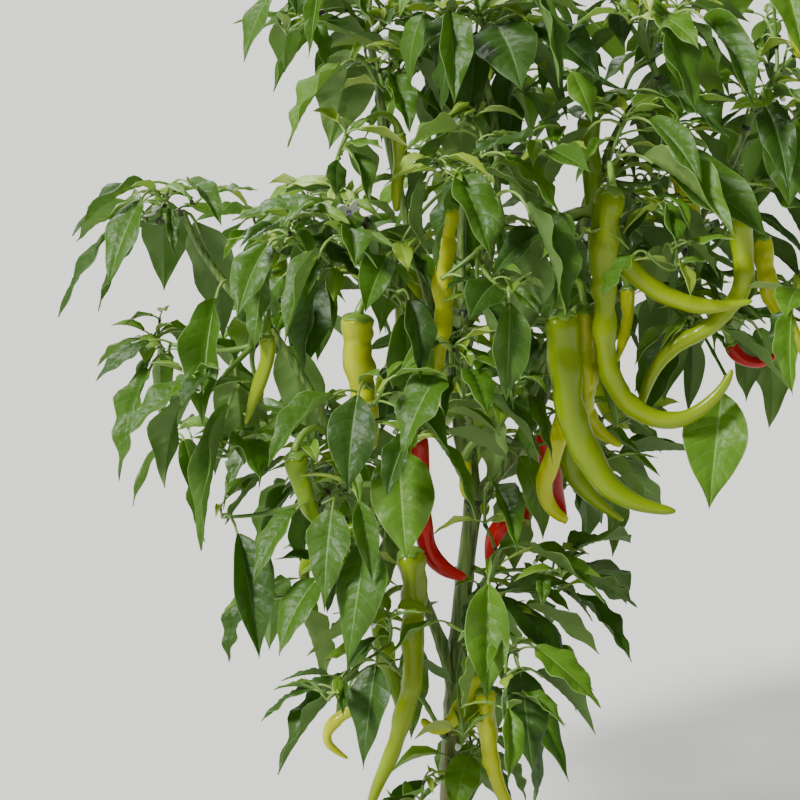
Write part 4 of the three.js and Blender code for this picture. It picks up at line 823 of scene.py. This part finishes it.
# The twigs: round green shoots that carry the masses from the limbs on to the leaves. They swell at each
# joint, where the skin is dark purple, and finer side twigs stand in the angles of the leaves.
twig_skin = plain("twig_skin", "#5f8230", 0.42)
TWIG_SIDES, SPUR_SIDES, SPUR_RADII = 10, 6, (1.1, 0.8)
JOINT_ROWS, JOINT_SWELL, JOINT_WIDTH, JOINT_DARK = 6, 0.35, 2.4, 2
TIP_LEAVES, TIP_LEAF, TIP_LEAF_LESS = 4, 36, 6  # young leaves at a shoot, the first one's size, and less each
SPUR_SHARE, BUD_SHARE = 0.24, 0.45  # how many leaves have a side twig, and how many of those a bud
looks = np.random.default_rng(20)
twig_parts, small_leaves, bud_roots = [], [], []


def jointed_tube(start, end, bow, radii, steps, sides):
    """A twig's skin: its radius swells by 0.35 times a bell curve 2.4 mm wide at each joint, and the rows
    within 2 mm of a joint have the joint's own skin."""
    points, widths = bent_line(start, end, bow, radii, steps * JOINT_ROWS)
    run = run_along(points)
    off = np.abs(run[:, None] - run[None, ::JOINT_ROWS]).min(axis=1)
    widths = widths * (1 + JOINT_SWELL * np.exp(-((off / JOINT_WIDTH) ** 2)))
    corners, quads, triangles = tube(points, widths, sides)
    middle = (off[1:] + off[:-1]) / 2
    return corners, quads, triangles, np.repeat((middle < JOINT_DARK).astype(int), sides), 0


def small_leaf(root, heading, size, lift):
    """A young leaf, slimmer and more upright than a grown one."""
    rise, dip = math.radians(looks.uniform(50, 75)), math.radians(looks.uniform(-18, 26) + lift)
    droop = dip - math.radians(looks.uniform(18, 60))
    width, roll = size * looks.uniform(0.36, 0.48), math.radians(looks.uniform(-25, 25))
    return np.array([*root, heading, size, size * 0.3, rise, dip, droop, width, roll])


for mass in masses:
    for twig in mass["twigs"]:
        if "shape" in twig:
            twig_parts.append(jointed_tube(*twig["shape"], TWIG_SIDES))
        if twig["kind"] == "shoot":
            tip, turn = twig["points"][-1], looks.uniform(0, 2 * math.pi)
            for k in range(TIP_LEAVES):
                size = TIP_LEAF - TIP_LEAF_LESS * k
                small_leaves.append(small_leaf(tip, turn + k * GOLDEN_ANGLE, size, 12 * k))
    for leaf in mass["leaves"]:
        if looks.random() > SPUR_SHARE:
            continue
        heading, rise = leaf[3] + looks.uniform(-0.6, 0.6), math.radians(looks.uniform(35, 75))
        level = math.cos(rise)
        way = np.array([math.cos(heading) * level, math.sin(heading) * level, math.sin(rise)])
        tip = leaf[:3] + way * looks.uniform(8, 18)
        if not has_room(room["pods"], tip[None], 5):
            continue
        twig_parts.append(jointed_tube(leaf[:3], tip, (0, 0, -1), SPUR_RADII, 1, SPUR_SIDES))
        for k in range(2):
            small_leaves.append(small_leaf(tip, heading + k * GOLDEN_ANGLE, looks.uniform(18, 38), 8 * k))
        if looks.random() < BUD_SHARE:
            bud_roots.append((tip, heading + 2))
twigs = mesh_piece("twigs", twig_parts, [twig_skin, joint_skin])


# The leaves: long pointed blades, satin green above and paler below, on petioles that arch away from the
# twigs. Each blade is one thin closed skin. Its rows follow the side veins, so that narrow rows are the veins
# themselves, the skin swells softly between them, and the edge waves.
VEINS = np.array([0.07, 0.17, 0.28, 0.39, 0.5, 0.61, 0.72])  # where they leave the midrib, as shares
VEIN_WIDTH = 0.0064
BLADE_THICKNESS, RIB_THICKNESS = 0.4, 0.9
# A tint is (name, upper side, midrib and painted highlight of the rim, side veins, underside, light that
# shines through).
TINTS = [
    ("deep", "#375619", "#587a3c", "#486a26", "#607e40", "#86b012"),
    ("dark", "#486c1c", "#6a8c40", "#597c2c", "#6e8c4a", "#9ac418"),
    ("mid", "#5c8424", "#80a050", "#6c9036", "#7e9c52", "#aed21e"),
    ("light", "#749a30", "#98b65e", "#84a446", "#90aa5a", "#bede2a"),
    ("young", "#98b43c", "#b0c65e", "#a2ba4e", "#a4ba5c", "#d0e43e"),
]
DIMPLE, DIMPLE_DEPTH = 0.005, 0.0014  # the dimples between the smallest veins, in metres


def leaf_material(name, colour, shine_through, roughness, share, pucker=0):
    """A leaf's skin: a satin surface, with a share of the light let through in a yellower green, as a thin
    blade lets it. A pucker gives it the soft dimples between the smallest veins."""
    material = plain(name, colour, roughness, Specular_IOR_Level=0.42)
    nodes, links = material.node_tree.nodes, material.node_tree.links
    through = add_node(material, "BsdfTranslucent", {"Color": linear(shine_through)}, {})
    surfaces = {1: nodes["Principled BSDF"].outputs["BSDF"], 2: through.outputs["BSDF"]}
    mix = add_node(material, "MixShader", {"Fac": share}, surfaces)
    links.new(mix.outputs["Shader"], nodes["Material Output"].inputs["Surface"])
    if pucker:
        where = add_node(material, "TexCoord", {}, {}).outputs["Object"]
        dimples = add_node(material, "TexNoise", {"Scale": 1 / DIMPLE, "Detail": 1.5}, {"Vector": where})
        depth = {"Strength": pucker, "Distance": DIMPLE_DEPTH}
        bump = add_node(material, "Bump", depth, {"Height": dimples.outputs["Fac"]})
        feed(material, "Normal", bump.outputs["Normal"])
    return material


leaf_skins = []
for tint, top, rib, side_vein, under, through in TINTS:
    leaf_skins.append(leaf_material(f"leaf_{tint}", top, through, 0.46, 0.38, 0.65))
    # The midrib's colour, which on the rim of the blade is a painted highlight along the edge.
    leaf_skins.append(leaf_material(f"rib_{tint}", rib, through, 0.5, 0.2))
    leaf_skins.append(leaf_material(f"underside_{tint}", under, through, 0.62, 0.36))
    leaf_skins.append(leaf_material(f"side_vein_{tint}", side_vein, through, 0.5, 0.3))


def repeated(corners, quads, quad_finish):
    """One part from many skins of the same kind: the faces of one, moved up by its corners each time."""
    count, size = corners.shape[:2]
    first = (np.arange(count) * size)[:, None, None]
    return corners.reshape(-1, 3), (quads[None] + first).reshape(-1, 4), np.empty((0, 3), int), quad_finish, 0


def shell_faces(rows, columns, vein_rows):
    """Faces of a thin closed skin: the grid above, the grid below turned over, and the rim between them.
    Their kinds are 0 above, 1 for the midrib and for the rim, where its pale colour is a painted highlight
    along the edge, 2 below and 3 for the side veins."""
    below = rows * columns
    grid = grid_faces(rows, columns, False)
    r, c = np.arange(rows - 1), np.arange(columns - 1)
    first, last, top = r * columns, r * columns + columns - 1, (rows - 1) * columns
    rims = [
        np.stack([first, first + below, first + columns + below, first + columns], 1),
        np.stack([last, last + columns, last + columns + below, last + below], 1),
        np.stack([c, c + 1, c + 1 + below, c + below], 1),
        np.stack([c + top, c + top + below, c + 1 + top + below, c + 1 + top], 1),
    ]
    above = np.zeros((rows - 1, columns - 1), int)
    above[vein_rows, 1:-1] = 3
    # The midrib and the outer columns of the upper side take kind 1; at the edge that pale colour is a
    # painted highlight.
    above[:, [0, (columns - 1) // 2, -1]] = 1
    kinds = np.concatenate([above.ravel(), np.full(len(grid), 2), np.ones(sum(map(len, rims)), int)])
    return np.vstack([grid[:, [0, 3, 2, 1]], grid + below, *rims]), kinds


def blades(leaves, tints, shares, lifts, vein_rows, across_shares, seed):
    """The blades of many leaves. A blade's half width runs as v^a (1 - v)^b along it. A row that starts at
    share s of the midrib meets the edge further on, at v = s + 0.64 s (1 - s) |u|^1.3, as the side veins do.
    Out of the blade's plane go a fold along the midrib, the swelling between veins, and waves of the edge."""
    draw = np.random.default_rng(seed)
    count = len(leaves)

    def one(low, high):
        """A value for each leaf, drawn between two limits."""
        return draw.uniform(low, high, count)[:, None, None]

    u = np.asarray(across_shares)[None, None]
    s = np.asarray(shares)[None, :, None]
    v = s + 0.64 * s * (1 - s) * np.abs(u) ** 1.3
    a, b = one(0.78, 1.0), one(1.3, 1.8)
    peak = (a / (a + b)) ** a * (b / (a + b)) ** b
    outline = v**a * (1 - v) ** b / peak
    length, width = leaves[:, 4, None, None], leaves[:, 9, None, None]
    half = outline * width / 2 * (1 + one(-0.07, 0.07) * np.sign(u))
    fold = np.radians(one(10, 70)) * (1 - 0.35 * v)
    x = u * half * np.cos(fold)
    arch = one(0.05, 0.4) * half * u**2
    between_veins = np.asarray(lifts)[None, :, None] * np.sin(math.pi * np.abs(u) ** 0.7)
    swell = 0.02 * length * between_veins * outline**0.5
    on_rib = np.abs(u) < 0.1
    groove = np.where(on_rib, 0.005 * length, 0)
    side = np.where(u < 0, one(0, 6), one(0, 6))
    waves = one(0.015, 0.055) * length * np.abs(u) ** 1.8 * np.sin(2 * math.pi * one(1.8, 3.4) * v + side)
    z = np.abs(u) * half * np.sin(fold) - arch + swell - groove + waves * outline**0.5
    turn = one(-0.5, 0.5) * v
    x, z = x * np.cos(turn) - z * np.sin(turn), x * np.sin(turn) + z * np.cos(turn)
    point, _, across, out = leaf_frame(leaves[:, None, None], leaves[:, 5, None, None] + v * length)
    swing = one(-0.06, 0.06) * length * v**2
    middle = point + across * (x + swing)[..., None]
    rib = np.where(on_rib, RIB_THICKNESS * (1 - v), 0)
    top = middle + out * z[..., None]
    bottom = middle + out * (z - BLADE_THICKNESS - rib)[..., None]
    corners = np.concatenate([top.reshape(count, -1, 3), bottom.reshape(count, -1, 3)], axis=1)
    quads, kinds = shell_faces(len(shares), len(across_shares), vein_rows)
    return repeated(corners, quads, (np.asarray(tints)[:, None] * 4 + kinds[None]).ravel())


# The rows of a blade, from its base to its tip, with how far each one swells, and the columns across it
mids = (VEINS[1:] + VEINS[:-1]) / 2
vein_sides = [*(VEINS - VEIN_WIDTH / 2), *(VEINS + VEIN_WIDTH / 2)]
grown_shares = [0.012, 0.04] + sorted([*vein_sides, *mids]) + [0.8, 0.88, 0.95, 0.988]
grown_lifts = [0, 0.5] + [0, 0, 1] * 6 + [0, 0] + [0.7, 0.4, 0.2, 0]
grown_across = [-1, -0.965, -0.78, -0.5, -0.24, -0.036, 0.036, 0.24, 0.5, 0.78, 0.965, 1]
grown_veins = 2 + 3 * np.arange(len(VEINS))
young_shares = [0.012, 0.12, 0.3, 0.5, 0.7, 0.88, 0.985]
young_lifts = [0, 0.3, 0.3, 0.3, 0.3, 0.3, 0]
young_across = [-1, -0.95, -0.5, -0.05, 0.05, 0.5, 0.95, 1]

REGIONS = {
    "leaves_left": ["left_tip", "left", "low_left", "centre_left", "low_left_front"],
    "leaves_top": ["top_left", "top", "upper_right", "back_top"],
    "leaves_centre": ["centre", "centre_front", "right", "low_front", "foot", "low_right"],
    "leaves_right": ["right_middle", "far_right", "far_right_top", "back_right"],
    "leaves_back": ["back_left", "back_left_low", "back", "back_right_low"],
}
petioles = []


def stalks(leaves, sides, rows):
    """Petioles of many leaves: rings about the leaf's own line, from the twig to a little way under the
    blade. The radius is 0.45 mm and 0.9 % of the blade's length, 0.7 % at the blade, and half as much again
    at the twig."""
    share = np.linspace(0, 1, rows)
    distance = leaves[:, 5, None] * (1 + 0.3 * share) * share
    point, _, across, out = leaf_frame(leaves[:, None], distance)
    thick = (leaves[:, 4, None] * (0.009 - 0.002 * share) + 0.45) * (1 + 0.5 * np.exp(-((share / 0.12) ** 2)))
    angle = np.arange(sides) * 2 * math.pi / sides
    ring = across[:, :, None] * np.cos(angle)[:, None] - out[:, :, None] * np.sin(angle)[:, None]
    corners = (point - out * thick[..., None] * share[:, None])[:, :, None] + ring * thick[:, :, None, None]
    ends = np.array([np.arange(sides)[::-1], (rows - 1) * sides + np.arange(sides)])
    caps = [ends[:, [0, k, k + 1, k + 2]] for k in range(1, sides - 2, 2)]
    quads = np.vstack([grid_faces(rows, sides, True), *caps])
    return repeated(corners.reshape(len(leaves), -1, 3), quads, 0)


# A leaf is lighter the further out in its mass it stands, which is painted shade that darkens the leaves deep
# inside the crown, and lighter or darker by chance.
for region, names in REGIONS.items():
    parts, nodes = [], ["foliage_" + name for name in names]
    for mass in masses:
        name, *_, seed = mass["plan"]
        if name not in names:
            continue
        grown = np.array(mass["leaves"])
        outward = depths(mass_centres[mass["order"]], mass_reaches[mass["order"]], grown[:, :3])
        # Tints step darker towards the middle of the mass: painted shade inside the crown, with a random
        # share on top.
        tints = np.clip(np.floor(outward * 1.6 + looks.normal(0.6, 0.75, len(grown))), 0, 3).astype(int)
        parts.append(blades(grown, tints, grown_shares, grown_lifts, grown_veins, grown_across, seed))
        petioles.append(stalks(grown, 6, 7))
    leaves = mesh_piece(region, parts, leaf_skins)
    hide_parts(*nodes)
young = np.array(small_leaves)
young_tints = looks.choice([2, 3, 4], len(young), p=[0.3, 0.4, 0.3])
parts = [blades(young, young_tints, young_shares, young_lifts, [], young_across, 5)]
young_leaves = mesh_piece("young_leaves", parts, leaf_skins)
petioles.append(stalks(young, 4, 4))
petiole_skin = plain("petiole_skin", "#7d9c45", 0.42)
petiole_piece = mesh_piece("petioles", petioles, [petiole_skin])


# The pods: long hollow fruits with a thin waxy, glossy skin, broad and lobed at the shoulder, tapering to a
# small blunt tip. Each hangs from a ribbed stalk that opens into a shallow green cup over the shoulder.
POD_COLOURS = {
    "lime": ("#7a9000", "#869c02", "#708800"),
    "yellow": ("#b6be04", "#aab404"),
    "green": ("#5f8008", "#6e8e0a"),
    "red": ("#c20c02", "#a80802"),
}
POD_GLOSS = {"Specular_IOR_Level": 0.26, "Coat_Weight": 0.15, "Coat_Roughness": 0.05}
POD_SIDES, COURSE_STEPS = 24, 40
STALK_SIDES, STALK_STEPS = 15, 14
# The cup's rows, from its stalk to its rim: how far down each one lies as a share, and in millimetres how far
# off the pod's skin and how far up.
CUP_DOWN = np.array([0, 0.1, 0.3, 0.5, 0.7, 0.85, 1, 1])[:, None]
CUP_OFF = np.array([0, 0.9, 1, 1, 0.9, 0.8, 0.6, -0.6])[:, None]
CUP_UP = np.array([1.6, 1.1, 0.9, 0.7, 0.5, 0.3, 0.1, -0.3])[:, None]
CUP_ROWS = len(CUP_DOWN)
pod_skins, pod_numbers = [], {}
for ripeness, colours in POD_COLOURS.items():
    pod_numbers[ripeness] = [len(pod_skins) + k for k in range(len(colours))]
    for k, colour in enumerate(colours):
        pod_skins.append(plain(f"pod_{ripeness}_{k}", colour, 0.28, **POD_GLOSS))
pod_angle = np.arange(POD_SIDES) * 2 * math.pi / POD_SIDES
shoulder_shares = [0.001, 0.003, 0.008, 0.016, 0.028, 0.042, 0.06]
tip_shares = [0.958, 0.972, 0.984, 0.993, 0.998]
pod_shares = np.concatenate([shoulder_shares, np.linspace(0.08, 0.945, 48), tip_shares])


def pod_relief(share, length, draw, bumpy):
    """How a pod's radius departs from its even shape, as a factor: three soft lobes that fade from the
    shoulder down, a wavering swell, and small bell-shaped dents, of which a bumpy pod has deep ones that run
    part of the way round it like creases."""
    s, angle = share[:, None], pod_angle[None]
    phase = draw.uniform(0, 2 * math.pi, 4)
    relief = 0.08 * np.cos(3 * angle + phase[0]) * np.exp(-((s / 0.3) ** 2))
    relief = relief + 0.025 * np.cos(2 * angle + phase[1])
    relief += 0.025 * np.cos(3 * angle + 9 * s + phase[2])
    swell = np.sin(2 * math.pi * s * length / draw.uniform(24, 34) + 0.8 * np.cos(angle + phase[3]))
    relief += draw.uniform(0.045, 0.07) * (1.8 if bumpy else 0.8) * swell * np.exp(-(((s - 0.35) / 0.4) ** 2))
    for _ in range(int(length / 5)):
        at, where, depth = draw.uniform(0.04, 0.85), draw.uniform(0, 2 * math.pi), draw.uniform(-0.04, 0.1)
        off = np.angle(np.exp(1j * (angle - where)))
        depth = depth * (1.6 - at)
        relief -= depth * np.exp(-(((s - at) * length / draw.uniform(5, 11)) ** 2) - (off / 0.55) ** 2)
    for _ in range(int(length / 6) if bumpy else 0):
        at, where, depth = draw.uniform(0.04, 0.7), draw.uniform(0, 2 * math.pi), draw.uniform(0.08, 0.17)
        off = np.angle(np.exp(1j * (angle - where)))
        down = ((s - at) * length - 1.2 * off) / draw.uniform(2.2, 3.6)
        relief -= depth * np.exp(-(down**2) - (off / draw.uniform(0.7, 1.3)) ** 2)
    return 1 + relief


pod_parts, stalk_parts = [], []
for order, (pod, _, reached_from) in enumerate(p for mass in masses for p in mass["pods"]):
    # The skin: its line wanders a little from the even curve, and the end is rounded off blunt.
    _, shoulder, length, girth, outline, *_, ripeness = pod
    draw = np.random.default_rng(100 + order)
    course = pod_line(pod, COURSE_STEPS)
    even_shares = np.arange(COURSE_STEPS + 1) / COURSE_STEPS
    middle = np.stack([np.interp(pod_shares, even_shares, course[:, k]) for k in range(3)], axis=1)
    bend = draw.uniform(0.6, 1.8) * np.sin(math.pi * pod_shares)
    wander = 2 * math.pi * pod_shares[:, None] * length / draw.uniform(70, 120) + draw.uniform(0, 6, 3)
    middle = middle + bend[:, None] * np.sin(wander) * np.array([1, 1, 0.3])
    rounded = np.sqrt(1 - (1 - np.minimum(pod_shares / 0.06, 1)) ** 2)
    nearby = [evenly(POD_SHAPES[outline], pod_shares + off) for off in np.linspace(-0.1, 0.1, 9)]
    taper = np.mean(nearby, axis=0)
    blunt = np.sqrt(np.clip(1 - ((pod_shares - 0.95) / 0.05).clip(0) ** 2, 0.02, 1))
    relief = pod_relief(pod_shares, length, draw, ripeness == "yellow" or outline == "slim")
    radii = (girth * rounded * taper * blunt)[:, None] * relief
    number = pod_numbers[ripeness][order % len(pod_numbers[ripeness])]
    pod_parts.append((*tube(middle, radii, POD_SIDES), number, number))
    # The stalk: five ribs, thicker at the twig and much thicker at the cup.
    stalk = pedicel_line(shoulder, reached_from, STALK_STEPS)
    row = np.arange(STALK_STEPS + 1)
    thick = PEDICEL_RADIUS * (1 + 0.25 * row / STALK_STEPS)
    thick = thick * (1 + 0.5 * (row / STALK_STEPS) ** 8) * (1 + 0.35 * np.exp(-((row / 1.2) ** 2)))
    ribs = 1 + 0.07 * np.cos(5 * np.arange(STALK_SIDES) * 2 * math.pi / STALK_SIDES)
    stalk_parts.append((*tube(stalk, thick[:, None] * ribs, STALK_SIDES), 0, 0))
    # The cup: five blunt teeth that lie just off the pod's own skin.
    teeth = 1 + 0.3 * np.cos(5 * pod_angle)
    reach = min(0.035, 4.2 / length) * CUP_DOWN**1.6 * teeth + 0.0005
    size = np.sqrt(1 - (1 - np.minimum(reach / 0.06, 1)) ** 2) * girth
    size = size * np.array([np.interp(0.03, pod_shares, relief[:, k]) for k in range(POD_SIDES)])
    size = np.maximum(size + CUP_OFF, 2.4 * (CUP_DOWN < 0.05))
    along, across, up = frames_along(middle[:8])
    ring = across[0] * np.cos(pod_angle)[:, None] + up[0] * np.sin(pod_angle)[:, None]
    skin = middle[0] + along[0] * (reach * length - CUP_UP)[..., None] + ring[None] * size[..., None]
    cup = np.vstack([skin.reshape(-1, 3), middle[0] - along[0] * 1.8, middle[0] + along[0] * 3])
    first = np.arange(POD_SIDES)
    turn, last_row, centre = (first + 1) % POD_SIDES, (CUP_ROWS - 1) * POD_SIDES, CUP_ROWS * POD_SIDES
    foot = np.stack([turn, first, np.full(POD_SIDES, centre)], axis=1)
    head = np.stack([last_row + first, last_row + turn, np.full(POD_SIDES, centre + 1)], axis=1)
    stalk_parts.append((cup, grid_faces(CUP_ROWS, POD_SIDES, True), np.vstack([foot, head]), 0, 0))
pods = mesh_piece("pods", pod_parts, pod_skins)
stalk_skin = plain("stalk_skin", "#6f9334", 0.38)
pod_stalks = mesh_piece("pod_stalks", stalk_parts, [stalk_skin])


# The blossom: small white flowers and buds that nod on thin stalks in the angles of the leaves. A flower is
# a star of five petals round a cone of dark anthers; a bud is a pale egg in a green cup.
petal_skin = plain("petal_skin", "#eceee2", 0.55)
anther_skin = plain("anther_skin", "#6c6a8c", 0.6)
NOD_LENGTH, NOD_STEPS = 13, 6
PETALS, PETAL_ROWS, PETAL_THICKNESS = 5, 6, 0.3
blossom = []
for order, (root, heading) in enumerate(bud_roots):
    out = np.array([math.cos(heading), math.sin(heading), 0])
    stops = NOD_LENGTH * np.arange(NOD_STEPS + 1) / NOD_STEPS
    out_steps, up_steps = arc(math.radians(50), math.radians(-60), NOD_LENGTH, stops)
    line = root + out * out_steps[:, None] + np.array([0, 0, 1]) * up_steps[:, None]
    blossom.append((*tube(line, np.linspace(0.55, 0.9, len(line)), 6), 0, 0))
    end, way = line[-1], unit(line[-1] - line[-2])
    # Four in five are buds.
    if order % 5:
        share = np.linspace(0, 1, 9)
        long = looks.uniform(5, 8)
        egg = long * 0.3 * np.sqrt(np.clip(1 - (2 * share - 1) ** 2, 0.01, 1)) * (1 + 0.25 * (0.5 - share))
        finish = np.repeat((share[:-1] > 0.3).astype(int), 10)
        blossom.append((*tube(end + way * (share * long)[:, None], egg, 10), finish, 1))
        continue
    flat = unit(np.cross(way, [0.3, 0.2, 1]))
    other = np.cross(way, flat)
    green_cup = tube(end + way * np.linspace(0, 3, 4)[:, None], np.array([0.9, 1.9, 2, 0.8]), 10)
    anthers = tube(end + way * np.linspace(2, 6, 4)[:, None], np.array([1.2, 1.5, 1.2, 0.4]), 8)
    blossom += [(*green_cup, 0, 0), (*anthers, 2, 2)]
    for k in range(PETALS):
        angle = k * 2 * math.pi / PETALS
        ray = flat * math.cos(angle) + other * math.sin(angle)
        share, u = np.linspace(0, 1, PETAL_ROWS)[:, None], np.array([-1, -0.4, 0.4, 1])[None]
        wide = 3 * np.sqrt(np.clip(share * (1.06 - share) * 4, 0.1, 1)) * u
        rise = 2.6 - 2.5 * share**2 + 0.5 * u**2
        skin = end + ray * (1 + 8.5 * share + 0 * u)[..., None] + np.cross(way, ray) * wide[..., None]
        top = (skin + way * rise[..., None]).reshape(-1, 3)
        faces, _ = shell_faces(PETAL_ROWS, u.size, [])
        sides = np.vstack([top + way * PETAL_THICKNESS / 2, top - way * PETAL_THICKNESS / 2])
        blossom.append((sides, faces, np.empty((0, 3), int), 1, 0))
flowers = mesh_piece("flowers", blossom, [stalk_skin, petal_skin, anther_skin])


# The floor that the plant stands on, the light and the camera: a plain pale floor and a pale surround, a key
# light high on the left in front, and one behind on the left that shines through the leaves.
FLOOR_HALF, FLOOR_Z = 60, -0.0005
CAMERA_AT, CAMERA_LOOKS_AT = (-0.035, -1.761, 0.722), (-0.035, 0, 0.348)
floor_corners = [(FLOOR_HALF * x, FLOOR_HALF * y, FLOOR_Z) for x, y in [(-1, -1), (1, -1), (1, 1), (-1, 1)]]
floor_mesh = bpy.data.meshes.new("floor")
floor_mesh.from_pydata(floor_corners, [], [(0, 1, 2, 3)])
floor_mesh.materials.append(plain("floor_paint", "#cfcfca", 0.9))
floor = bpy.data.objects.new("floor", floor_mesh)
bpy.context.scene.collection.objects.link(floor)

world = bpy.data.worlds.new("surround")
world.use_nodes = True
background = world.node_tree.nodes["Background"]
background.inputs["Color"].default_value = linear("#e3e8ee")
background.inputs["Strength"].default_value = 0.34
bpy.context.scene.world = world

# A lamp is (name, where it shines from, how wide its disc is in degrees, strength).
for name, direction, width, strength in [
    ("key_light", (-1.7, -1.3, 1.8), 12, 5.6),
    ("back_light", (-0.9, 1.6, 1.9), 20, 3.6),
]:
    lamp = bpy.data.lights.new(name, "SUN")
    lamp.angle = math.radians(width)
    lamp.energy = strength
    light = bpy.data.objects.new(name, lamp)
    light.rotation_euler = (-Vector(direction)).to_track_quat("-Z", "Y").to_euler()
    bpy.context.scene.collection.objects.link(light)

lens = bpy.data.cameras.new("camera")
lens.lens = 119.1
lens.sensor_width = 36
camera = bpy.data.objects.new("camera", lens)
camera.location = CAMERA_AT
camera.rotation_euler = (Vector(CAMERA_LOOKS_AT) - camera.location).to_track_quat("-Z", "Y").to_euler()
bpy.context.scene.collection.objects.link(camera)
bpy.context.scene.camera = camera
